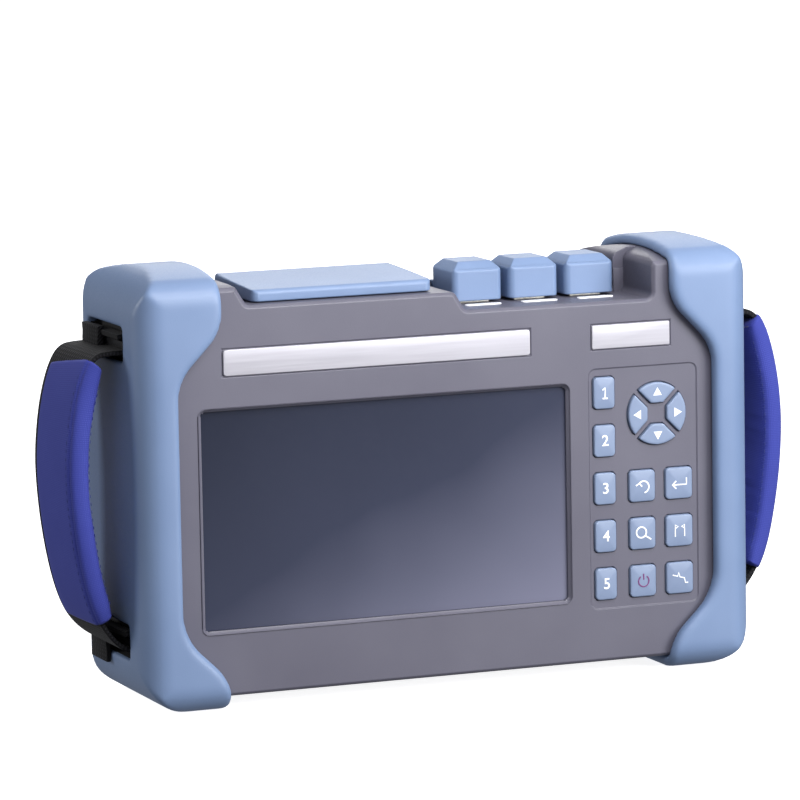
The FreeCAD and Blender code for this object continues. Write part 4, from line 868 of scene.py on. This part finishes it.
def webbing_end(side, which):
    """A folded end of the webbing, lying against the bumper over the rear of a slot."""
    form = block(*WEBBING_ENDS[which])
    across = [edge for edge in form.edges if not runs_along(edge, 1)]
    bmesh.ops.subdivide_edges(form, edges=across, cuts=END_CUTS, use_grid_fill=True)
    for vertex in form.verts:
        if vertex.co.x > END_FACE_X * MM:
            vertex.co.x += END_BULGE * MM * noise.noise(vertex.co * END_PITCH)
    corners = [edge for edge in form.edges if edge.calc_face_angle(0) > END_CORNER]
    bevelled(form, corners, END_RIM, segments=2)
    mapped(form, lambda x, y, z: (y, z + x))
    made = mirrored(form, side)
    piece(f"webbing_end_{side}_{which}", made, FINISHES["black_webbing"])


def painted_slot_shade(side, height):
    """A thin black five-sided tray, open outwards, that paints the shade inside a strap slot."""
    form = block(
        (SHADE_SHEET_X[0], SHADE_SHEET_Y[0], height - SHADE_SHEET_HALF_HEIGHT),
        (SHADE_SHEET_X[1], SHADE_SHEET_Y[1], height + SHADE_SHEET_HALF_HEIGHT),
    )
    mouth = [face for face in form.faces if face.normal.x > FACING]
    bmesh.ops.delete(form, geom=mouth, context="FACES_ONLY")
    bmesh.ops.reverse_faces(form, faces=form.faces)
    bmesh.ops.solidify(form, geom=form.faces[:], thickness=-SHADE_SHEET_THICKNESS * MM)
    piece(f"painted_slot_shade_{side}_{round(height)}", mirrored(form, side), painted_shade_black)


for side in SIDES:
    strap_pad(side)
    webbing(side)
    for end in WEBBING_ENDS:
        webbing_end(side, end)
    for slot_height in SLOT_HEIGHTS:
        painted_slot_shade(side, slot_height)


# ---------------------------------------------------------------- sockets, screws and latch

SOCKET_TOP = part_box("network_socket")[1].z / MM
SOCKET_DEPTH, TONGUE_TOP, CONTACT_DEPTH, CONTACT_TOP = 9, 1.2, 8, 1.6
HOST_SOCKETS_X = (-47.0, -37.0)
HOST_TONGUE_X, HOST_TONGUE_Y = (-1.9, -0.3), (-7.6, 1.6)
DEVICE_TONGUE_X, DEVICE_TONGUE_Y = (-28.6, -22.4), (-4.6, -2.4)
TONGUE_RIM = 0.2
CONTACT_X, CONTACT_Y, CONTACT_PITCH, CONTACT_COUNT = (-63.2, -62.8), (-6.4, -5.9), 1.05, 8
POWER_PIN_X, POWER_PIN_Y, POWER_PIN_SINK = -13, -3, 6
POWER_PIN_RADIUS, POWER_PIN_LENGTH, POWER_PIN_SIDES, POWER_PIN_RIM = 0.8, 8, 20, 0.3

SCREW_PLACES = ((-84, 146), (84, 140), (-84, 24), (84, 24))
SCREW_RADIUS, SCREW_LENGTH, SCREW_SIDES, SCREW_RIM, SCREW_SINK = 2.9, 1.2, 28, 0.35, 0.25
CROSS_LONG, CROSS_SHORT, CROSS_FROM, CROSS_TO, CROSS_RIM = 3.4, 0.7, 0.1, 0.38, 0.05

LATCH_HALF_WIDTH, LATCH_LOW, LATCH_HIGH = 13, 46.5, 53.5
LATCH_SINK, LATCH_PROUD, LATCH_CORNER, LATCH_RIM = 0.3, 0.5, 1.5, 0.3
RIB_HALF_WIDTH, RIB_LOW, RIB_HIGH, RIB_SINK, RIB_PROUD = 0.4, 47.8, 52.2, 0.3, 0.85
RIB_COUNT, RIB_PITCH = 9, 2.2

FILLER_X, FILLER_Y, FILLER_SINK, FILLER_HEIGHT, FILLER_RIM = (82.1, 86.6), (-3.6, -2.9), 0.3, 9.2, 0.12


def small(name, low, high, finish, rim):
    """A small block with softened edges."""
    form = block(low, high)
    return piece(name, bevelled(form, form.edges[:], rim, segments=2), finish)


def row(name, finish, count, pitch, low, high):
    """Equal small blocks in a row along X, about the one whose corners are given."""
    form = bmesh.new()
    low, high = Vector(low), Vector(high)
    for index in range(count):
        made = bmesh.ops.create_cube(form, size=MM)
        middle = (low + high) / 2 + Vector((pitch * (index - (count - 1) / 2), 0, 0))
        bmesh.ops.scale(form, vec=high - low, verts=made["verts"])
        bmesh.ops.translate(form, vec=middle * MM, verts=made["verts"])
    return piece(name, form, finish)


def screw(name, x, z):
    """A flush crossed screw in the back."""
    face_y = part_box("rear_case")[1].y / MM
    form = pin(SCREW_RADIUS, SCREW_LENGTH, SCREW_SIDES, SCREW_RIM)
    bmesh.ops.rotate(form, matrix=Matrix.Rotation(-math.pi / 2, 3, "X"), verts=form.verts)
    bmesh.ops.translate(form, vec=Vector((x, face_y - SCREW_SINK, z)) * MM, verts=form.verts)
    piece(name, form, FINISHES["steel"])
    # the black cross on the head paints the shade of the screw's cross recess
    for turn, (wide, tall) in enumerate(((CROSS_LONG, CROSS_SHORT), (CROSS_SHORT, CROSS_LONG))):
        low = (x - wide / 2, face_y + CROSS_FROM, z - tall / 2)
        high = (x + wide / 2, face_y + CROSS_TO, z + tall / 2)
        small(f"{name}_cross_{turn}", low, high, painted_shade_black, CROSS_RIM)


def tongue(name, across, along, finish):
    """The plastic tongue that stands in a socket."""
    low = (across[0], along[0], SOCKET_TOP - SOCKET_DEPTH)
    high = (across[1], along[1], SOCKET_TOP - TONGUE_TOP)
    small(name, low, high, finish, TONGUE_RIM)


def socket_parts():
    """What shows in the sockets under the cover: tongues, contacts and the power pin."""
    for number, x in enumerate(HOST_SOCKETS_X, 1):
        across = [x + edge for edge in HOST_TONGUE_X]
        tongue(f"host_tongue_{number}", across, HOST_TONGUE_Y, socket_blue)
    tongue("device_tongue", DEVICE_TONGUE_X, DEVICE_TONGUE_Y, socket_ivory)
    low = (CONTACT_X[0], CONTACT_Y[0], SOCKET_TOP - CONTACT_DEPTH)
    high = (CONTACT_X[1], CONTACT_Y[1], SOCKET_TOP - CONTACT_TOP)
    row("network_contacts", contact_gold, CONTACT_COUNT, CONTACT_PITCH, low, high)
    form = pin(POWER_PIN_RADIUS, POWER_PIN_LENGTH, POWER_PIN_SIDES, POWER_PIN_RIM)
    place = Vector((POWER_PIN_X, POWER_PIN_Y, SOCKET_TOP - POWER_PIN_SINK))
    bmesh.ops.translate(form, vec=place * MM, verts=form.verts)
    piece("power_pin", form, contact_gold)


def latch():
    """The sliding catch of the battery door, with grip ribs."""
    face_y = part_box("battery_door")[1].y / MM
    low = (-LATCH_HALF_WIDTH, face_y - LATCH_SINK, LATCH_LOW)
    high = (LATCH_HALF_WIDTH, face_y + LATCH_PROUD, LATCH_HIGH)
    form = plaque(low, high, LATCH_CORNER, LATCH_RIM, facing=1)
    piece("battery_latch", form, FINISHES["dark_plastic"])
    low = (-RIB_HALF_WIDTH, face_y + RIB_SINK, RIB_LOW)
    high = (RIB_HALF_WIDTH, face_y + RIB_PROUD, RIB_HIGH)
    row("latch_ribs", FINISHES["dark_plastic"], RIB_COUNT, RIB_PITCH, low, high)


def wall_filler():
    """Closes the step between the two shells at the right end of the cap bay."""
    bay_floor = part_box("label_strips")[0].z / MM
    low = (FILLER_X[0], FILLER_Y[0], bay_floor - FILLER_SINK)
    high = (FILLER_X[1], FILLER_Y[1], bay_floor + FILLER_HEIGHT)
    small("bay_step_filler", low, high, FINISHES["grey_plastic"], FILLER_RIM)


for number, (screw_x, screw_z) in enumerate(SCREW_PLACES, 1):
    screw(f"back_screw_{number}", screw_x, screw_z)
socket_parts()
latch()
wall_filler()
